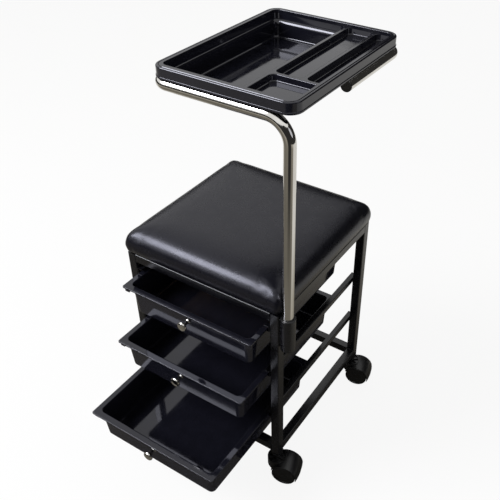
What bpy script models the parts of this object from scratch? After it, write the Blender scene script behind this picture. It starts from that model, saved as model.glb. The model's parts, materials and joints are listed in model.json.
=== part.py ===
"""A rolling salon trolley: welded square-tube frame, three moulded drawers on
channel runners, a padded seat on top, twin-wheel casters below, and a moulded
tool tray on a bent tube that turns in a socket at the front right post.

Metres, +Z up.  X runs to the right, -Y to the front where the drawers open.
The shapes are laid out from the frame's centre line and the floor, and the
last step slides everything so that the origin is under the middle of the box.
"""

import math

import bmesh
import bpy
from mathutils import Matrix, Vector

# Fits shared by all pieces
GAP = 0.0003                    # between faces that touch
RUN = 0.0003                    # round a shaft that turns
MERGE = 0.00001                 # points nearer than this are one
ROUND_MID = 1 - math.sin(math.pi / 4)   # middle of a round, as a share of its radius
SCREW_FACE = 0.6                # flat of a screw's head, as a share of its radius
SCREW_TIP = 0.0008              # taper at a screw's end

# Frame: square tube posts and rails
TUBE = 0.018
TUBE_WALL = 0.0012
TUBE_CORNER = 0.0022
FRAME_W = 0.334
FRAME_D = 0.334
FRAME_H = 0.377
LOWER_RAIL_RISE = 0.009         # lower rails' underside above the posts' ends

# Runners: channels that hold the drawers' rims
RUNNER_W = 0.011
RUNNER_H = 0.012
RUNNER_WALL = 0.0012

# Drawers
DRAWER_NAMES = ("top", "middle", "bottom")
DRAWER_OUT = (0.041, 0.075, 0.168)   # how far each one is pulled out
TOP_RIM_DROP = 0.0387           # top drawer's rim below the frame's top
DRAWER_CLEAR = 0.0213            # lowest drawer above the lower rails
RIM_PLAY = 0.006                # rim's edge to the runner's web
RIM_OVER = 0.002                # rim's length beyond the frame's depth
RIM_T = 0.003
RIM_CORNER = 0.0037
RIM_EDGE = 0.0008
LEDGE_FRONT = 0.0113            # flat rim from its edge to the body
LEDGE_SIDE = 0.0098
LEDGE_REAR = 0.0108
BODY_DEPTH = 0.064
BODY_DRAFT = 0.0034
BODY_WALL = 0.002
BODY_CORNER = 0.0105
BODY_FOOT = 0.005               # round along the bottom edge
MOUTH_ROUND = 0.0026            # round from the rim's top into the mouth
HOOK_SETBACK = 0.0045           # stop hooks under the rim's front corners
HOOK_T = 0.0027
HOOK_W = 0.010
HOOK_DROP = 0.010
HOOK_SIDE = 0.002

# Drawer knobs
KNOB_DROP = 0.024               # knob's axis below the rim's top
KNOB_R = 0.0095
KNOB_LENGTH = 0.0202
KNOB_BASE_R = 0.005
KNOB_BASE_T = 0.0014
KNOB_BASE_TAPER = 0.0034
KNOB_STEM_R = 0.0034
KNOB_BORE = 0.010
KNOB_NECK = 0.55                # stem's share of the length
KNOB_HEAD = ((0.66, 0.68), (0.95, 0.77), (1.0, 0.84), (0.94, 0.92), (0.62, 0.98))   # shares of radius, length
KNOB_SCREW_R = 0.002
KNOB_SCREW_HEAD_R = 0.0038
KNOB_SCREW_HEAD_T = 0.0022

# Seat
CUSHION_OVER = 0.005            # cushion's side beyond the frame's
CUSHION_CORNER = 0.025
CUSHION_CORNER_TOP = 0.010
CUSHION_CORNER_EASE = 0.25      # how fast its corners tighten towards the top
CUSHION_H = 0.058
CUSHION_SIDE = (                # how far it draws in, at each share of its height
    (0.0060, 0.00),
    (0.0020, 0.10),
    (0.0000, 0.30),
    (0.0015, 0.48),
    (0.0055, 0.64),
    (0.0125, 0.78),
    (0.0225, 0.87),
    (0.0380, 0.92),
    (0.0650, 0.96),
    (0.1050, 0.99),
    (0.1400, 1.00),
)
BOARD_T = 0.010
BOARD_LAP = 0.0088              # board's edge on the rails

# Tray tube and its socket
SOCKET_R = 0.0132
SOCKET_WALL = 0.002
SOCKET_FLOOR = 0.003
SOCKET_DROP = 0.003             # socket's mouth below the frame's top
SOCKET_H = 0.069
BUSH_FLANGE = 0.0015
ROD_R = 0.0095
ROD_WALL = 0.0012
ROD_RISE = 0.356                # loop's centre line above the frame's top
ROD_BEND = 0.038
LOOP_BEND = 0.021
LOOP_REACH = 0.2345             # socket's axis to the loop's left run
LOOP_DEPTH = 0.3155             # front run to back run
LOOP_OUT = 0.008                # right run beyond the socket's axis
LOOP_STOP = 0.143               # front run to the right run's open end
CAP_LIP = 0.0025
CAP_STUB = 0.010
CAP_EASE = 0.0012

# Tray
TRAY_SIDE = 0.002               # tray's edge outside the loop's centre line
TRAY_RIGHT = 0.0035
TRAY_FRONT = 0.008
TRAY_BACK = 0.005
TRAY_CORNER = 0.021
TRAY_WALL = 0.002
TRAY_SKIRT = 0.018
TRAY_LIP = 0.0008
TRAY_LIP_H = 0.003
TRAY_RIM_T = 0.003
TRAY_BEAD = 0.0024              # round along the rim's outer edge
TRAY_BAND_SIDE = 0.010          # tray's edge to the basin's mouth
TRAY_BAND_FRONT = 0.013
TRAY_BAND_BACK = 0.009
TRAY_DEPTH = 0.045              # rim to the long compartment's floor
PAN_DEPTH = 0.015               # rim to the other compartments' floor
PAN_DRAFT = 0.002
TRAY_CORNER_IN = 0.011
TRAY_CLEAR = 0.0018             # basin to the loop's tube
TRAY_FLOOR_ROUND = 0.003
DIVIDER_DROP = 0.005
DIVIDER_T = 0.007
DIVIDER_DRAFT = 0.001
MAIN_DIVIDER_IN = 0.0905        # right run to the dividers' centre lines
SIDE_DIVIDER_IN = 0.0375
CROSS_WALL_IN = 0.079           # front run to the cross wall's centre line
BOSS_R = 0.0035
TRAY_SCREW_R = 0.0017
TRAY_SCREW_HEAD_R = 0.0034
TRAY_SCREW_HEAD_T = 0.002
TRAY_SCREW_BITE = 0.010
TRAY_SCREW_IN = 0.070           # side runs to the screws in the back run

# Casters
CASTER_H = 0.067                # floor to the posts' lower ends
WHEEL_R = 0.025
WHEEL_W = 0.0175
WHEEL_SIDES = 20
WHEEL_DISH = 0.0012
WHEEL_RIM = 0.005
TREAD_ROUND = 0.002
TRAIL = 0.020                   # stem's axis to the axle
WEB_T = 0.010                   # housing between the two wheels
WEB_R = 0.0185
SIDE_PLAY = 0.0005
HOOD_PLAY = 0.0008
HOOD_EDGE_T = 0.0014
HOOD_CROWN = 0.0028             # hood's middle above its edges
HOOD_SIDES = 20
HOOD_SHARES = (-1.0, -0.6, 0.0, 0.6, 1.0)   # of the half width, where its crown is drawn
HOOD_FRONT_LIFT = 0.009         # hood's mouth above the axle, at its front
HOOD_REAR_DROP = 0.007          # and below the axle, at its rear
AXLE_R = 0.003
AXLE_EASE = 0.0006
AXLE_REACH = 0.014              # how far it goes into each wheel
CUP_R = 0.0195                  # round head over the stem
CUP_WALL = 0.002
CUP_DROP = 0.011                # cup's top below the post's end
CUP_FOOT = 0.029
CUP_DEPTH = 0.0034
CUP_RIBS = 8
CUP_RIB_T = 0.0016
STEM_R = 0.004
STEM_SLEEVE_R = 0.0070
STEM_COLLAR_R = 0.0065
STEM_COLLAR_T = 0.0015
STEM_IN_POST = 0.026
STEM_IN_HOUSING = 0.014
INSERT_FLANGE = 0.002
INSERT_H = 0.030
CASTER_HEADINGS = {
    "front_left": 20.0,
    "front_right": 13.0,
    "rear_left": 5.0,
    "rear_right": 12.0,
}

# Levels and faces that several pieces share
POST_FOOT = CASTER_H
FRAME_TOP = POST_FOOT + FRAME_H
POST_X = (FRAME_W - TUBE) / 2
POST_Y = (FRAME_D - TUBE) / 2
INNER_X = FRAME_W / 2 - TUBE
BODY_H = RIM_T + BODY_DEPTH
DRAWER_PITCH = (FRAME_H - TOP_RIM_DROP - BODY_H - DRAWER_CLEAR - TUBE - LOWER_RAIL_RISE) / 2
RIM_W = 2 * (INNER_X - RIM_PLAY)
RIM_D = FRAME_D + RIM_OVER
CUSHION_W = FRAME_W + 2 * CUSHION_OVER
CUSHION_D = FRAME_D + 2 * CUSHION_OVER
RIM_FRONT_CLOSED = -FRAME_D / 2 - HOOK_SETBACK - HOOK_T - GAP
SOCKET_X = FRAME_W / 2 + SOCKET_R + GAP
SOCKET_Y = -POST_Y
SOCKET_BASE = FRAME_TOP - SOCKET_DROP - SOCKET_H
ROD_Z = FRAME_TOP + ROD_RISE
LOOP_LEFT = SOCKET_X - LOOP_REACH
LOOP_RIGHT = SOCKET_X + LOOP_OUT
LOOP_BACK = SOCKET_Y + LOOP_DEPTH
LOOP_END = SOCKET_Y + LOOP_STOP
MAIN_DIVIDER = LOOP_RIGHT - MAIN_DIVIDER_IN
SIDE_DIVIDER = LOOP_RIGHT - SIDE_DIVIDER_IN
CROSS_WALL = SOCKET_Y + CROSS_WALL_IN
TRAY_TOP = ROD_Z + ROD_R + GAP + TRAY_SKIRT
TRAY_FLOOR = TRAY_TOP - TRAY_DEPTH
PAN_FLOOR = TRAY_TOP - PAN_DEPTH
WHEEL_FACE = WEB_T / 2 + SIDE_PLAY + WHEEL_W
SLOT_R = WHEEL_R / math.cos(math.pi / WHEEL_SIDES) + HOOD_PLAY
SLEEVE_TOP = POST_FOOT - GAP - INSERT_FLANGE - GAP - STEM_COLLAR_T - GAP
CUP_TOP = POST_FOOT - CUP_DROP
CORNERS = {
    "front_left": (-POST_X, -POST_Y),
    "front_right": (POST_X, -POST_Y),
    "rear_left": (-POST_X, POST_Y),
    "rear_right": (POST_X, POST_Y),
}


# Scene and materials

def clear_scene():
    for old in list(bpy.data.objects):
        bpy.data.objects.remove(old, do_unlink=True)


def finish_of(name, colour, roughness, metallic=0.0):
    material = bpy.data.materials.new(name)
    material.use_nodes = True
    shader = material.node_tree.nodes["Principled BSDF"]
    shader.inputs["Base Color"].default_value = (*colour, 1.0)
    shader.inputs["Roughness"].default_value = roughness
    shader.inputs["Metallic"].default_value = metallic
    return material


def black_powder_coat():
    return finish_of("black_powder_coat", (0.012, 0.012, 0.013), 0.25)


def black_plastic():
    return finish_of("black_plastic", (0.010, 0.010, 0.011), 0.12)


def black_vinyl():
    return finish_of("black_vinyl", (0.014, 0.014, 0.015), 0.38)


def chrome():
    return finish_of("chrome", (0.80, 0.80, 0.82), 0.06, 1.0)


def zinc_steel():
    return finish_of("zinc_steel", (0.45, 0.45, 0.46), 0.35, 1.0)


def plywood():
    return finish_of("plywood", (0.42, 0.29, 0.17), 0.7)


def grey_nylon():
    return finish_of("grey_nylon", (0.05, 0.05, 0.055), 0.4)


def wheel_plastic():
    return finish_of("wheel_plastic", (0.016, 0.016, 0.018), 0.3)


# Shape tools

def mesh_object(name, bm, material, smooth=True):
    bmesh.ops.recalc_face_normals(bm, faces=bm.faces)
    mesh = bpy.data.meshes.new(name)
    bm.to_mesh(mesh)
    bm.free()
    mesh.materials.append(material)
    if smooth:
        mesh.shade_smooth()
        mesh.set_sharp_from_angle(angle=math.radians(35))
    item = bpy.data.objects.new(name, mesh)
    bpy.context.scene.collection.objects.link(item)
    return item


def combine(target, tool, operation):
    """Union or difference, applied at once; the tool object is used up."""
    modifier = target.modifiers.new("combine", 'BOOLEAN')
    modifier.operation = operation
    modifier.solver = 'EXACT'
    modifier.object = tool
    bpy.context.view_layer.update()
    view = bpy.context.evaluated_depsgraph_get()
    result = bpy.data.meshes.new_from_object(target.evaluated_get(view))
    target.modifiers.remove(modifier)
    target.data = result
    bpy.data.objects.remove(tool, do_unlink=True)


def cut(target, tool):
    combine(target, tool, 'DIFFERENCE')


def fuse(target, tool):
    combine(target, tool, 'UNION')


def grow(rect, amount):
    """A rectangle (x0, x1, y0, y1) with every side moved out."""
    x0, x1, y0, y1 = rect
    return (x0 - amount, x1 + amount, y0 - amount, y1 + amount)


def rounded_rect(rect, radius, z, steps):
    """Points round a rectangle with round corners, at height z."""
    x0, x1, y0, y1 = rect
    centres = (
        (x1 - radius, y1 - radius, 0.0),
        (x0 + radius, y1 - radius, 90.0),
        (x0 + radius, y0 + radius, 180.0),
        (x1 - radius, y0 + radius, 270.0),
    )
    points = []
    for cx, cy, start in centres:
        for step in range(steps + 1):
            turn = math.radians(start + 90.0 * step / steps)
            points.append(Vector((cx + radius * math.cos(turn), cy + radius * math.sin(turn), z)))
    return points


def circle(radius, z, sides):
    """Points round a circle at height z."""
    turns = [2 * math.pi * side / sides for side in range(sides)]
    return [Vector((radius * math.cos(turn), radius * math.sin(turn), z)) for turn in turns]


def skin(rings):
    """Walls through rings of equal point count, closed by a face at each end."""
    bm = bmesh.new()
    rows = [[bm.verts.new(point) for point in ring] for ring in rings]
    for lower, upper in zip(rows, rows[1:]):
        bridge(bm, lower, upper)
    bm.faces.new(rows[0])
    bm.faces.new(rows[-1])
    return bm


def bridge(bm, lower, upper):
    count = len(lower)
    for i in range(count):
        j = (i + 1) % count
        bm.faces.new((lower[i], lower[j], upper[j], upper[i]))


def lathe(profile, sides):
    """Turns (radius, height) points round Z; a radius of 0 closes the end."""
    bm = bmesh.new()
    rows = []
    for radius, height in profile:
        points = circle(radius, height, sides) if radius else [(0.0, 0.0, height)]
        rows.append([bm.verts.new(point) for point in points])
    for lower, upper in zip(rows, rows[1:]):
        if len(lower) == 1 or len(upper) == 1:
            fan(bm, lower, upper)
        else:
            bridge(bm, lower, upper)
    return bm


def fan(bm, lower, upper):
    centre, ring = (lower[0], upper) if len(lower) == 1 else (upper[0], lower)
    for i in range(len(ring)):
        bm.faces.new((centre, ring[i], ring[(i + 1) % len(ring)]))


def bar(name, material, low, high):
    """A plain box between two corners, used as a tool."""
    x0, y0, z0 = low
    x1, y1, z1 = high
    bm = bmesh.new()
    bmesh.ops.create_cube(bm, size=1.0)
    middle = Vector(((x0 + x1) / 2, (y0 + y1) / 2, (z0 + z1) / 2))
    size = Matrix.Diagonal((x1 - x0, y1 - y0, z1 - z0, 1.0))
    bm.transform(Matrix.Translation(middle) @ size)
    return mesh_object(name, bm, material, smooth=False)


def pin(name, material, radius, start, end, sides):
    """A plain round bar between two points, used as a tool or a shank."""
    start = Vector(start)
    along = Vector(end) - start
    bm = skin([circle(radius, level, sides) for level in (0.0, along.length)])
    bm.transform(Matrix.Translation(start) @ along.to_track_quat('Z', 'Y').to_matrix().to_4x4())
    return mesh_object(name, bm, material)


def lay_along(bm, axis):
    """Turns a shape made along Z so that it runs along X or Y."""
    if axis == 'X':
        bm.transform(Matrix.Rotation(math.radians(90), 4, 'Y') @ Matrix.Rotation(math.radians(90), 4, 'Z'))
    if axis == 'Y':
        bm.transform(Matrix.Rotation(math.radians(-90), 4, 'X'))


# Frame

def square_tube(name, length, axis, middle, material):
    """Open-ended square tube, its inner edges square as a weld seam leaves them."""
    half = TUBE / 2
    outer = (-half, half, -half, half)
    inner = grow(outer, -TUBE_WALL)
    bore_corner = TUBE_CORNER - TUBE_WALL / 2
    bm = bmesh.new()
    rings = []
    for rect, radius in ((outer, TUBE_CORNER), (inner, bore_corner)):
        for z in (-length / 2, length / 2):
            rings.append([bm.verts.new(point) for point in rounded_rect(rect, radius, z, 2)])
    out_low, out_high, in_low, in_high = rings
    bridge(bm, out_low, out_high)
    bridge(bm, in_low, in_high)
    bridge(bm, out_low, in_low)
    bridge(bm, out_high, in_high)
    lay_along(bm, axis)
    bm.transform(Matrix.Translation(middle))
    return mesh_object(name, bm, material)


def make_posts(material):
    for corner, (x, y) in CORNERS.items():
        square_tube("post_" + corner, FRAME_H, 'Z', (x, y, POST_FOOT + FRAME_H / 2), material)


def make_rails(material):
    levels = {
        "upper": FRAME_TOP - TUBE / 2,
        "lower": POST_FOOT + LOWER_RAIL_RISE + TUBE / 2,
    }
    across = FRAME_W - 2 * TUBE - 2 * GAP
    along = FRAME_D - 2 * TUBE - 2 * GAP
    for level, z in levels.items():
        square_tube(level + "_rail_front", across, 'X', (0, -POST_Y, z), material)
        square_tube(level + "_rail_rear", across, 'X', (0, POST_Y, z), material)
        square_tube(level + "_rail_left", along, 'Y', (-POST_X, 0, z), material)
        square_tube(level + "_rail_right", along, 'Y', (POST_X, 0, z), material)


def rim_level(index):
    return FRAME_TOP - TOP_RIM_DROP - index * DRAWER_PITCH


def make_runner(name, side, rim_top, material):
    """A rolled channel, open towards the drawer, welded along two posts."""
    web = INNER_X - GAP
    lip = web - RUNNER_W
    foot = rim_top - RIM_T - GAP - RUNNER_WALL
    head = foot + RUNNER_H
    wall = RUNNER_WALL
    fold = wall
    outline = [
        (lip, foot),
        (web - fold, foot),
        (web - fold * ROUND_MID, foot + fold * ROUND_MID),
        (web, foot + fold),
        (web, head - fold),
        (web - fold * ROUND_MID, head - fold * ROUND_MID),
        (web - fold, head),
        (lip, head),
        (lip, head - wall),
        (web - wall, head - wall),
        (web - wall, foot + wall),
        (lip, foot + wall),
    ]
    rings = []
    for y in (-FRAME_D / 2, FRAME_D / 2):
        rings.append([Vector((side * x, y, z)) for x, z in outline])
    mesh_object(name, skin(rings), material, smooth=False)


def make_runners(material):
    for index, level in enumerate(DRAWER_NAMES):
        for side, hand in ((-1, "left"), (1, "right")):
            make_runner("runner_%s_%s" % (level, hand), side, rim_level(index), material)


# Seat

def make_seat_board(material):
    edge = TUBE - BOARD_LAP
    rect = grow((-FRAME_W / 2, FRAME_W / 2, -FRAME_D / 2, FRAME_D / 2), -edge)
    z = FRAME_TOP + GAP
    rings = [rounded_rect(rect, CUSHION_CORNER / 2, level, 3) for level in (z, z + BOARD_T)]
    mesh_object("seat_board", skin(rings), material, smooth=False)


def make_cushion(material):
    """Crowned pad whose foot wraps round the board, with a pocket for it below."""
    foot = FRAME_TOP + GAP
    full = (-CUSHION_W / 2, CUSHION_W / 2, -CUSHION_D / 2, CUSHION_D / 2)
    edge = TUBE - BOARD_LAP - GAP
    pocket = grow((-FRAME_W / 2, FRAME_W / 2, -FRAME_D / 2, FRAME_D / 2), -edge)
    rings = [
        rounded_rect(pocket, CUSHION_CORNER / 2 + GAP, foot + BOARD_T + GAP, 6),
        rounded_rect(pocket, CUSHION_CORNER / 2 + GAP, foot, 6),
    ]
    for inset, share in CUSHION_SIDE:
        radius = max(CUSHION_CORNER - inset * CUSHION_CORNER_EASE, CUSHION_CORNER_TOP)
        rings.append(rounded_rect(grow(full, -inset), radius, foot + CUSHION_H * share, 6))
    mesh_object("seat_cushion", skin(rings), material)


# Drawers

def drawer_rects(front):
    """Rim and body rectangles at the rim's level, for a rim whose front is at y = front."""
    rim = (-RIM_W / 2, RIM_W / 2, front, front + RIM_D)
    body = (rim[0] + LEDGE_SIDE, rim[1] - LEDGE_SIDE, rim[2] + LEDGE_FRONT, rim[3] - LEDGE_REAR)
    return rim, body


def make_drawer(name, front, top, material):
    rim, body = drawer_rects(front)
    foot = grow(body, -BODY_DRAFT)
    mouth = grow(body, -BODY_WALL)
    well = grow(foot, -BODY_WALL)
    bottom = top - BODY_H
    floor = bottom + BODY_WALL
    inner = BODY_CORNER - BODY_WALL
    edge = BODY_FOOT * ROUND_MID
    lip = MOUTH_ROUND * ROUND_MID
    steps = 4
    rings = [
        rounded_rect(grow(foot, -BODY_FOOT), BODY_CORNER - BODY_FOOT, bottom, steps),
        rounded_rect(grow(foot, -edge), BODY_CORNER - edge, bottom + edge, steps),
        rounded_rect(foot, BODY_CORNER, bottom + BODY_FOOT, steps),
        rounded_rect(body, BODY_CORNER, top - RIM_T, steps),
        rounded_rect(rim, RIM_CORNER, top - RIM_T, steps),
        rounded_rect(rim, RIM_CORNER, top - RIM_EDGE, steps),
        rounded_rect(grow(rim, -RIM_EDGE), RIM_CORNER - RIM_EDGE, top, steps),
        rounded_rect(grow(mouth, MOUTH_ROUND), inner + MOUTH_ROUND, top, steps),
        rounded_rect(grow(mouth, lip), inner + lip, top - lip, steps),
        rounded_rect(mouth, inner, top - MOUTH_ROUND, steps),
        rounded_rect(well, inner, floor + BODY_FOOT, steps),
        rounded_rect(grow(well, -edge), inner - edge, floor + edge, steps),
        rounded_rect(grow(well, -BODY_FOOT), inner - BODY_FOOT, floor, steps),
    ]
    drawer = mesh_object(name, skin(rings), material)
    for side in (-1, 1):
        fuse(drawer, stop_hook(side, front, top, material))
    depth = top - KNOB_DROP
    cut(drawer, pin("tool", material, KNOB_SCREW_R + RUN, (0, front, depth),
                    (0, front + LEDGE_FRONT * 3, depth), 16))
    return drawer


def stop_hook(side, front, top, material):
    """Tab under the rim's front corner that meets the runner's end."""
    outside = side * (RIM_W / 2 - HOOK_SIDE)
    inside = outside - side * HOOK_W
    face = front + HOOK_SETBACK
    root = top - RIM_T / 2
    tip = top - RIM_T - HOOK_DROP
    near = (min(inside, outside), face, tip)
    far = (max(inside, outside), face + HOOK_T, root)
    return bar("tool", material, near, far)


def panel_face(front):
    """Front panel's outer face at the knob's axis."""
    fall = (KNOB_DROP - RIM_T) * BODY_DRAFT / BODY_DEPTH
    return front + LEDGE_FRONT + fall


def make_knob(name, front, top, material):
    lean = KNOB_BASE_R * BODY_DRAFT / BODY_DEPTH
    bore = KNOB_SCREW_R + RUN
    long = KNOB_LENGTH
    profile = [
        (0.0, KNOB_BORE),
        (bore, KNOB_BORE),
        (bore, 0.0),
        (KNOB_BASE_R, 0.0),
        (KNOB_BASE_R, KNOB_BASE_T),
        (KNOB_STEM_R, KNOB_BASE_TAPER),
        (KNOB_STEM_R, long * KNOB_NECK),
    ]
    profile += [(KNOB_R * wide, long * far) for wide, far in KNOB_HEAD]
    profile.append((0.0, long))
    knob = mesh_object(name, lathe(profile, 14), material)
    knob.rotation_euler.x = math.radians(90)
    knob.location = (0, panel_face(front) - GAP - lean, top - KNOB_DROP)


def make_knob_screw(name, front, top, material):
    lean = KNOB_SCREW_HEAD_R * BODY_DRAFT / BODY_DEPTH
    knob_seat = GAP + KNOB_BASE_R * BODY_DRAFT / BODY_DEPTH
    head_face = BODY_WALL + GAP + lean
    reach = knob_seat + KNOB_BORE - GAP
    head = KNOB_SCREW_HEAD_R
    thick = KNOB_SCREW_HEAD_T
    profile = [
        (0.0, -head_face - thick),
        (head * SCREW_FACE, -head_face - thick),
        (head, -head_face - thick / 2),
        (head, -head_face),
        (KNOB_SCREW_R, -head_face),
        (KNOB_SCREW_R, reach - SCREW_TIP),
        (KNOB_SCREW_R - SCREW_TIP, reach),
        (0.0, reach),
    ]
    screw = mesh_object(name, lathe(profile, 10), material)
    screw.rotation_euler.x = math.radians(90)
    screw.location = (0, panel_face(front), top - KNOB_DROP)


def make_drawers(body_material, knob_material, screw_material):
    for index, level in enumerate(DRAWER_NAMES):
        front = RIM_FRONT_CLOSED - DRAWER_OUT[index]
        top = rim_level(index)
        make_drawer("drawer_" + level, front, top, body_material)
        make_knob("knob_" + level, front, top, knob_material)
        make_knob_screw("knob_screw_" + level, front, top, screw_material)


# Tray socket and tube

def make_socket(material):
    bore = SOCKET_R - SOCKET_WALL
    profile = [
        (0.0, 0.0),
        (SOCKET_R, 0.0),
        (SOCKET_R, SOCKET_H),
        (bore, SOCKET_H),
        (bore, SOCKET_FLOOR),
        (0.0, SOCKET_FLOOR),
    ]
    socket = mesh_object("tray_socket", lathe(profile, 24), material)
    socket.location = (SOCKET_X, SOCKET_Y, SOCKET_BASE)


def make_socket_bush(material):
    outer = SOCKET_R - SOCKET_WALL - GAP
    bore = ROD_R + RUN
    low = SOCKET_FLOOR + GAP
    top = SOCKET_H + GAP
    profile = [
        (bore, low),
        (outer, low),
        (outer, top),
        (SOCKET_R, top),
        (SOCKET_R, top + BUSH_FLANGE / 2),
        (SOCKET_R - BUSH_FLANGE / 2, top + BUSH_FLANGE),
        (bore, top + BUSH_FLANGE),
    ]
    bm = lathe(profile + profile[:1], 24)
    bmesh.ops.remove_doubles(bm, verts=bm.verts, dist=MERGE)
    bush = mesh_object("socket_bush", bm, material)
    bush.location = (SOCKET_X, SOCKET_Y, SOCKET_BASE)


def rounded_path(corners, bends, steps):
    """Straight runs between corners, each inner corner turned by a round bend."""
    path = [corners[0]]
    for before, corner, after, bend in zip(corners, corners[1:], corners[2:], bends):
        back = (before - corner).normalized()
        ahead = (after - corner).normalized()
        centre = corner + (back + ahead) * bend
        for step in range(steps + 1):
            turn = math.radians(90.0 * step / steps)
            path.append(centre - ahead * bend * math.cos(turn) - back * bend * math.sin(turn))
    path.append(corners[-1])
    return path


def tube_along(path, outer, inner, sides):
    """A hollow round tube whose section travels along the path without twisting."""
    bm = bmesh.new()
    tangent = (path[1] - path[0]).normalized()
    across = Vector((1.0, 0.0, 0.0))
    outside = []
    inside = []
    for index, point in enumerate(path):
        before = path[max(index - 1, 0)]
        after = path[min(index + 1, len(path) - 1)]
        heading = (after - before).normalized()
        across = tangent.rotation_difference(heading) @ across
        across = (across - heading * across.dot(heading)).normalized()
        upright = heading.cross(across)
        tangent = heading
        for radius, rows in ((outer, outside), (inner, inside)):
            row = []
            for side in range(sides):
                turn = 2 * math.pi * side / sides
                arm = across * math.cos(turn) + upright * math.sin(turn)
                row.append(bm.verts.new(point + arm * radius))
            rows.append(row)
    for rows in (outside, inside):
        for lower, upper in zip(rows, rows[1:]):
            bridge(bm, lower, upper)
    bridge(bm, outside[0], inside[0])
    bridge(bm, outside[-1], inside[-1])
    return bm


def tray_screw_places():
    return {
        "left": (LOOP_LEFT + TRAY_SCREW_IN, LOOP_BACK),
        "right": (LOOP_RIGHT - TRAY_SCREW_IN, LOOP_BACK),
    }


def make_tray_rod(material):
    corners = [
        Vector((SOCKET_X, SOCKET_Y, SOCKET_BASE + SOCKET_FLOOR + GAP)),
        Vector((SOCKET_X, SOCKET_Y, ROD_Z)),
        Vector((LOOP_LEFT, SOCKET_Y, ROD_Z)),
        Vector((LOOP_LEFT, LOOP_BACK, ROD_Z)),
        Vector((LOOP_RIGHT, LOOP_BACK, ROD_Z)),
        Vector((LOOP_RIGHT, LOOP_END, ROD_Z)),
    ]
    path = rounded_path(corners, (ROD_BEND, LOOP_BEND, LOOP_BEND, LOOP_BEND), 5)
    rod = mesh_object("tray_rod", tube_along(path, ROD_R, ROD_R - ROD_WALL, 12), material)
    for x, y in tray_screw_places().values():
        cut(rod, pin("tool", material, TRAY_SCREW_R + RUN, (x, y, ROD_Z - 2 * ROD_R),
                     (x, y, ROD_Z + 2 * ROD_R), 12))


def make_rod_cap(material):
    """Domed plug pressed into the loop's open end."""
    stub = ROD_R - ROD_WALL - GAP
    profile = [
        (0.0, -CAP_STUB),
        (stub - CAP_EASE, -CAP_STUB),
        (stub, -CAP_STUB + CAP_EASE),
        (stub, GAP),
        (ROD_R, GAP),
        (ROD_R, CAP_LIP - CAP_EASE),
        (ROD_R - CAP_EASE, CAP_LIP),
        (0.0, CAP_LIP),
    ]
    bm = lathe(profile, 16)
    cap = mesh_object("rod_cap", bm, material)
    cap.rotation_euler.x = math.radians(90)
    cap.location = (LOOP_RIGHT, LOOP_END, ROD_Z)


# Tray

def tray_outer():
    return (LOOP_LEFT - TRAY_SIDE, LOOP_RIGHT + TRAY_RIGHT, SOCKET_Y - TRAY_FRONT, LOOP_BACK + TRAY_BACK)


def tray_mouth():
    x0, x1, y0, y1 = tray_outer()
    return (x0 + TRAY_BAND_SIDE, x1 - TRAY_BAND_SIDE, y0 + TRAY_BAND_FRONT, y1 - TRAY_BAND_BACK)


def tray_pan():
    """Floor of the shallow compartments, above the level of the tube."""
    return grow(tray_mouth(), -PAN_DRAFT)


def tray_well():
    """Floor of the long compartment, between the loop's runs."""
    loop = (LOOP_LEFT, LOOP_RIGHT, SOCKET_Y, LOOP_BACK)
    return grow(loop, -ROD_R - TRAY_CLEAR - TRAY_WALL)


def compartments(rect, draft):
    """The four pockets' rectangles inside rect, with dividers thicker by draft."""
    x0, x1, y0, y1 = rect
    half = DIVIDER_T / 2 + draft
    return {
        "long": (x0, MAIN_DIVIDER - half, y0, y1),
        "middle": (MAIN_DIVIDER + half, SIDE_DIVIDER - half, CROSS_WALL + half, y1),
        "narrow": (SIDE_DIVIDER + half, x1, CROSS_WALL + half, y1),
        "front": (MAIN_DIVIDER + half, x1, y0, CROSS_WALL - half),
    }


def make_tray(material):
    edge = tray_outer()
    mouth = tray_mouth()
    pan = tray_pan()
    top = TRAY_TOP
    corner = TRAY_CORNER
    inner = TRAY_CORNER_IN
    wall = TRAY_WALL
    deck = top - DIVIDER_DROP
    skirt_foot = top - TRAY_SKIRT
    bottom = PAN_FLOOR - wall
    bead = TRAY_BEAD
    round_foot = TRAY_FLOOR_ROUND
    steps = 4
    rings = [
        rounded_rect(grow(pan, wall - round_foot), inner + wall - round_foot, bottom, steps),
        rounded_rect(grow(pan, wall), inner + wall, bottom + round_foot, steps),
        rounded_rect(grow(mouth, wall), inner + wall, top - TRAY_RIM_T, steps),
        rounded_rect(grow(edge, -wall), corner - wall, top - TRAY_RIM_T, steps),
        rounded_rect(grow(edge, -wall), corner - wall, skirt_foot, steps),
        rounded_rect(grow(edge, TRAY_LIP), corner + TRAY_LIP, skirt_foot, steps),
        rounded_rect(grow(edge, TRAY_LIP), corner + TRAY_LIP, skirt_foot + TRAY_LIP_H, steps),
        rounded_rect(edge, corner, skirt_foot + TRAY_LIP_H + TRAY_LIP, steps),
        rounded_rect(edge, corner, top - bead, steps),
        rounded_rect(grow(edge, -bead * ROUND_MID), corner - bead * ROUND_MID, top - bead * ROUND_MID, steps),
        rounded_rect(grow(edge, -bead), corner - bead, top, steps),
        rounded_rect(grow(mouth, wall / 2), inner + wall / 2, top, steps),
        rounded_rect(mouth, inner, top - wall / 2, steps),
        rounded_rect(grow(mouth, -wall / 4), inner, deck, steps),
    ]
    tray = mesh_object("tool_tray", skin(rings), material)
    fuse(tray, long_well(material))
    for place in tray_screw_places().values():
        fuse(tray, screw_boss(place, material))
    for place in tray_screw_places().values():
        cut(tray, screw_pilot(place, material))
    for pocket in compartments(pan, 0.0):
        cut(tray, tray_pocket(pocket, material))


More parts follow.
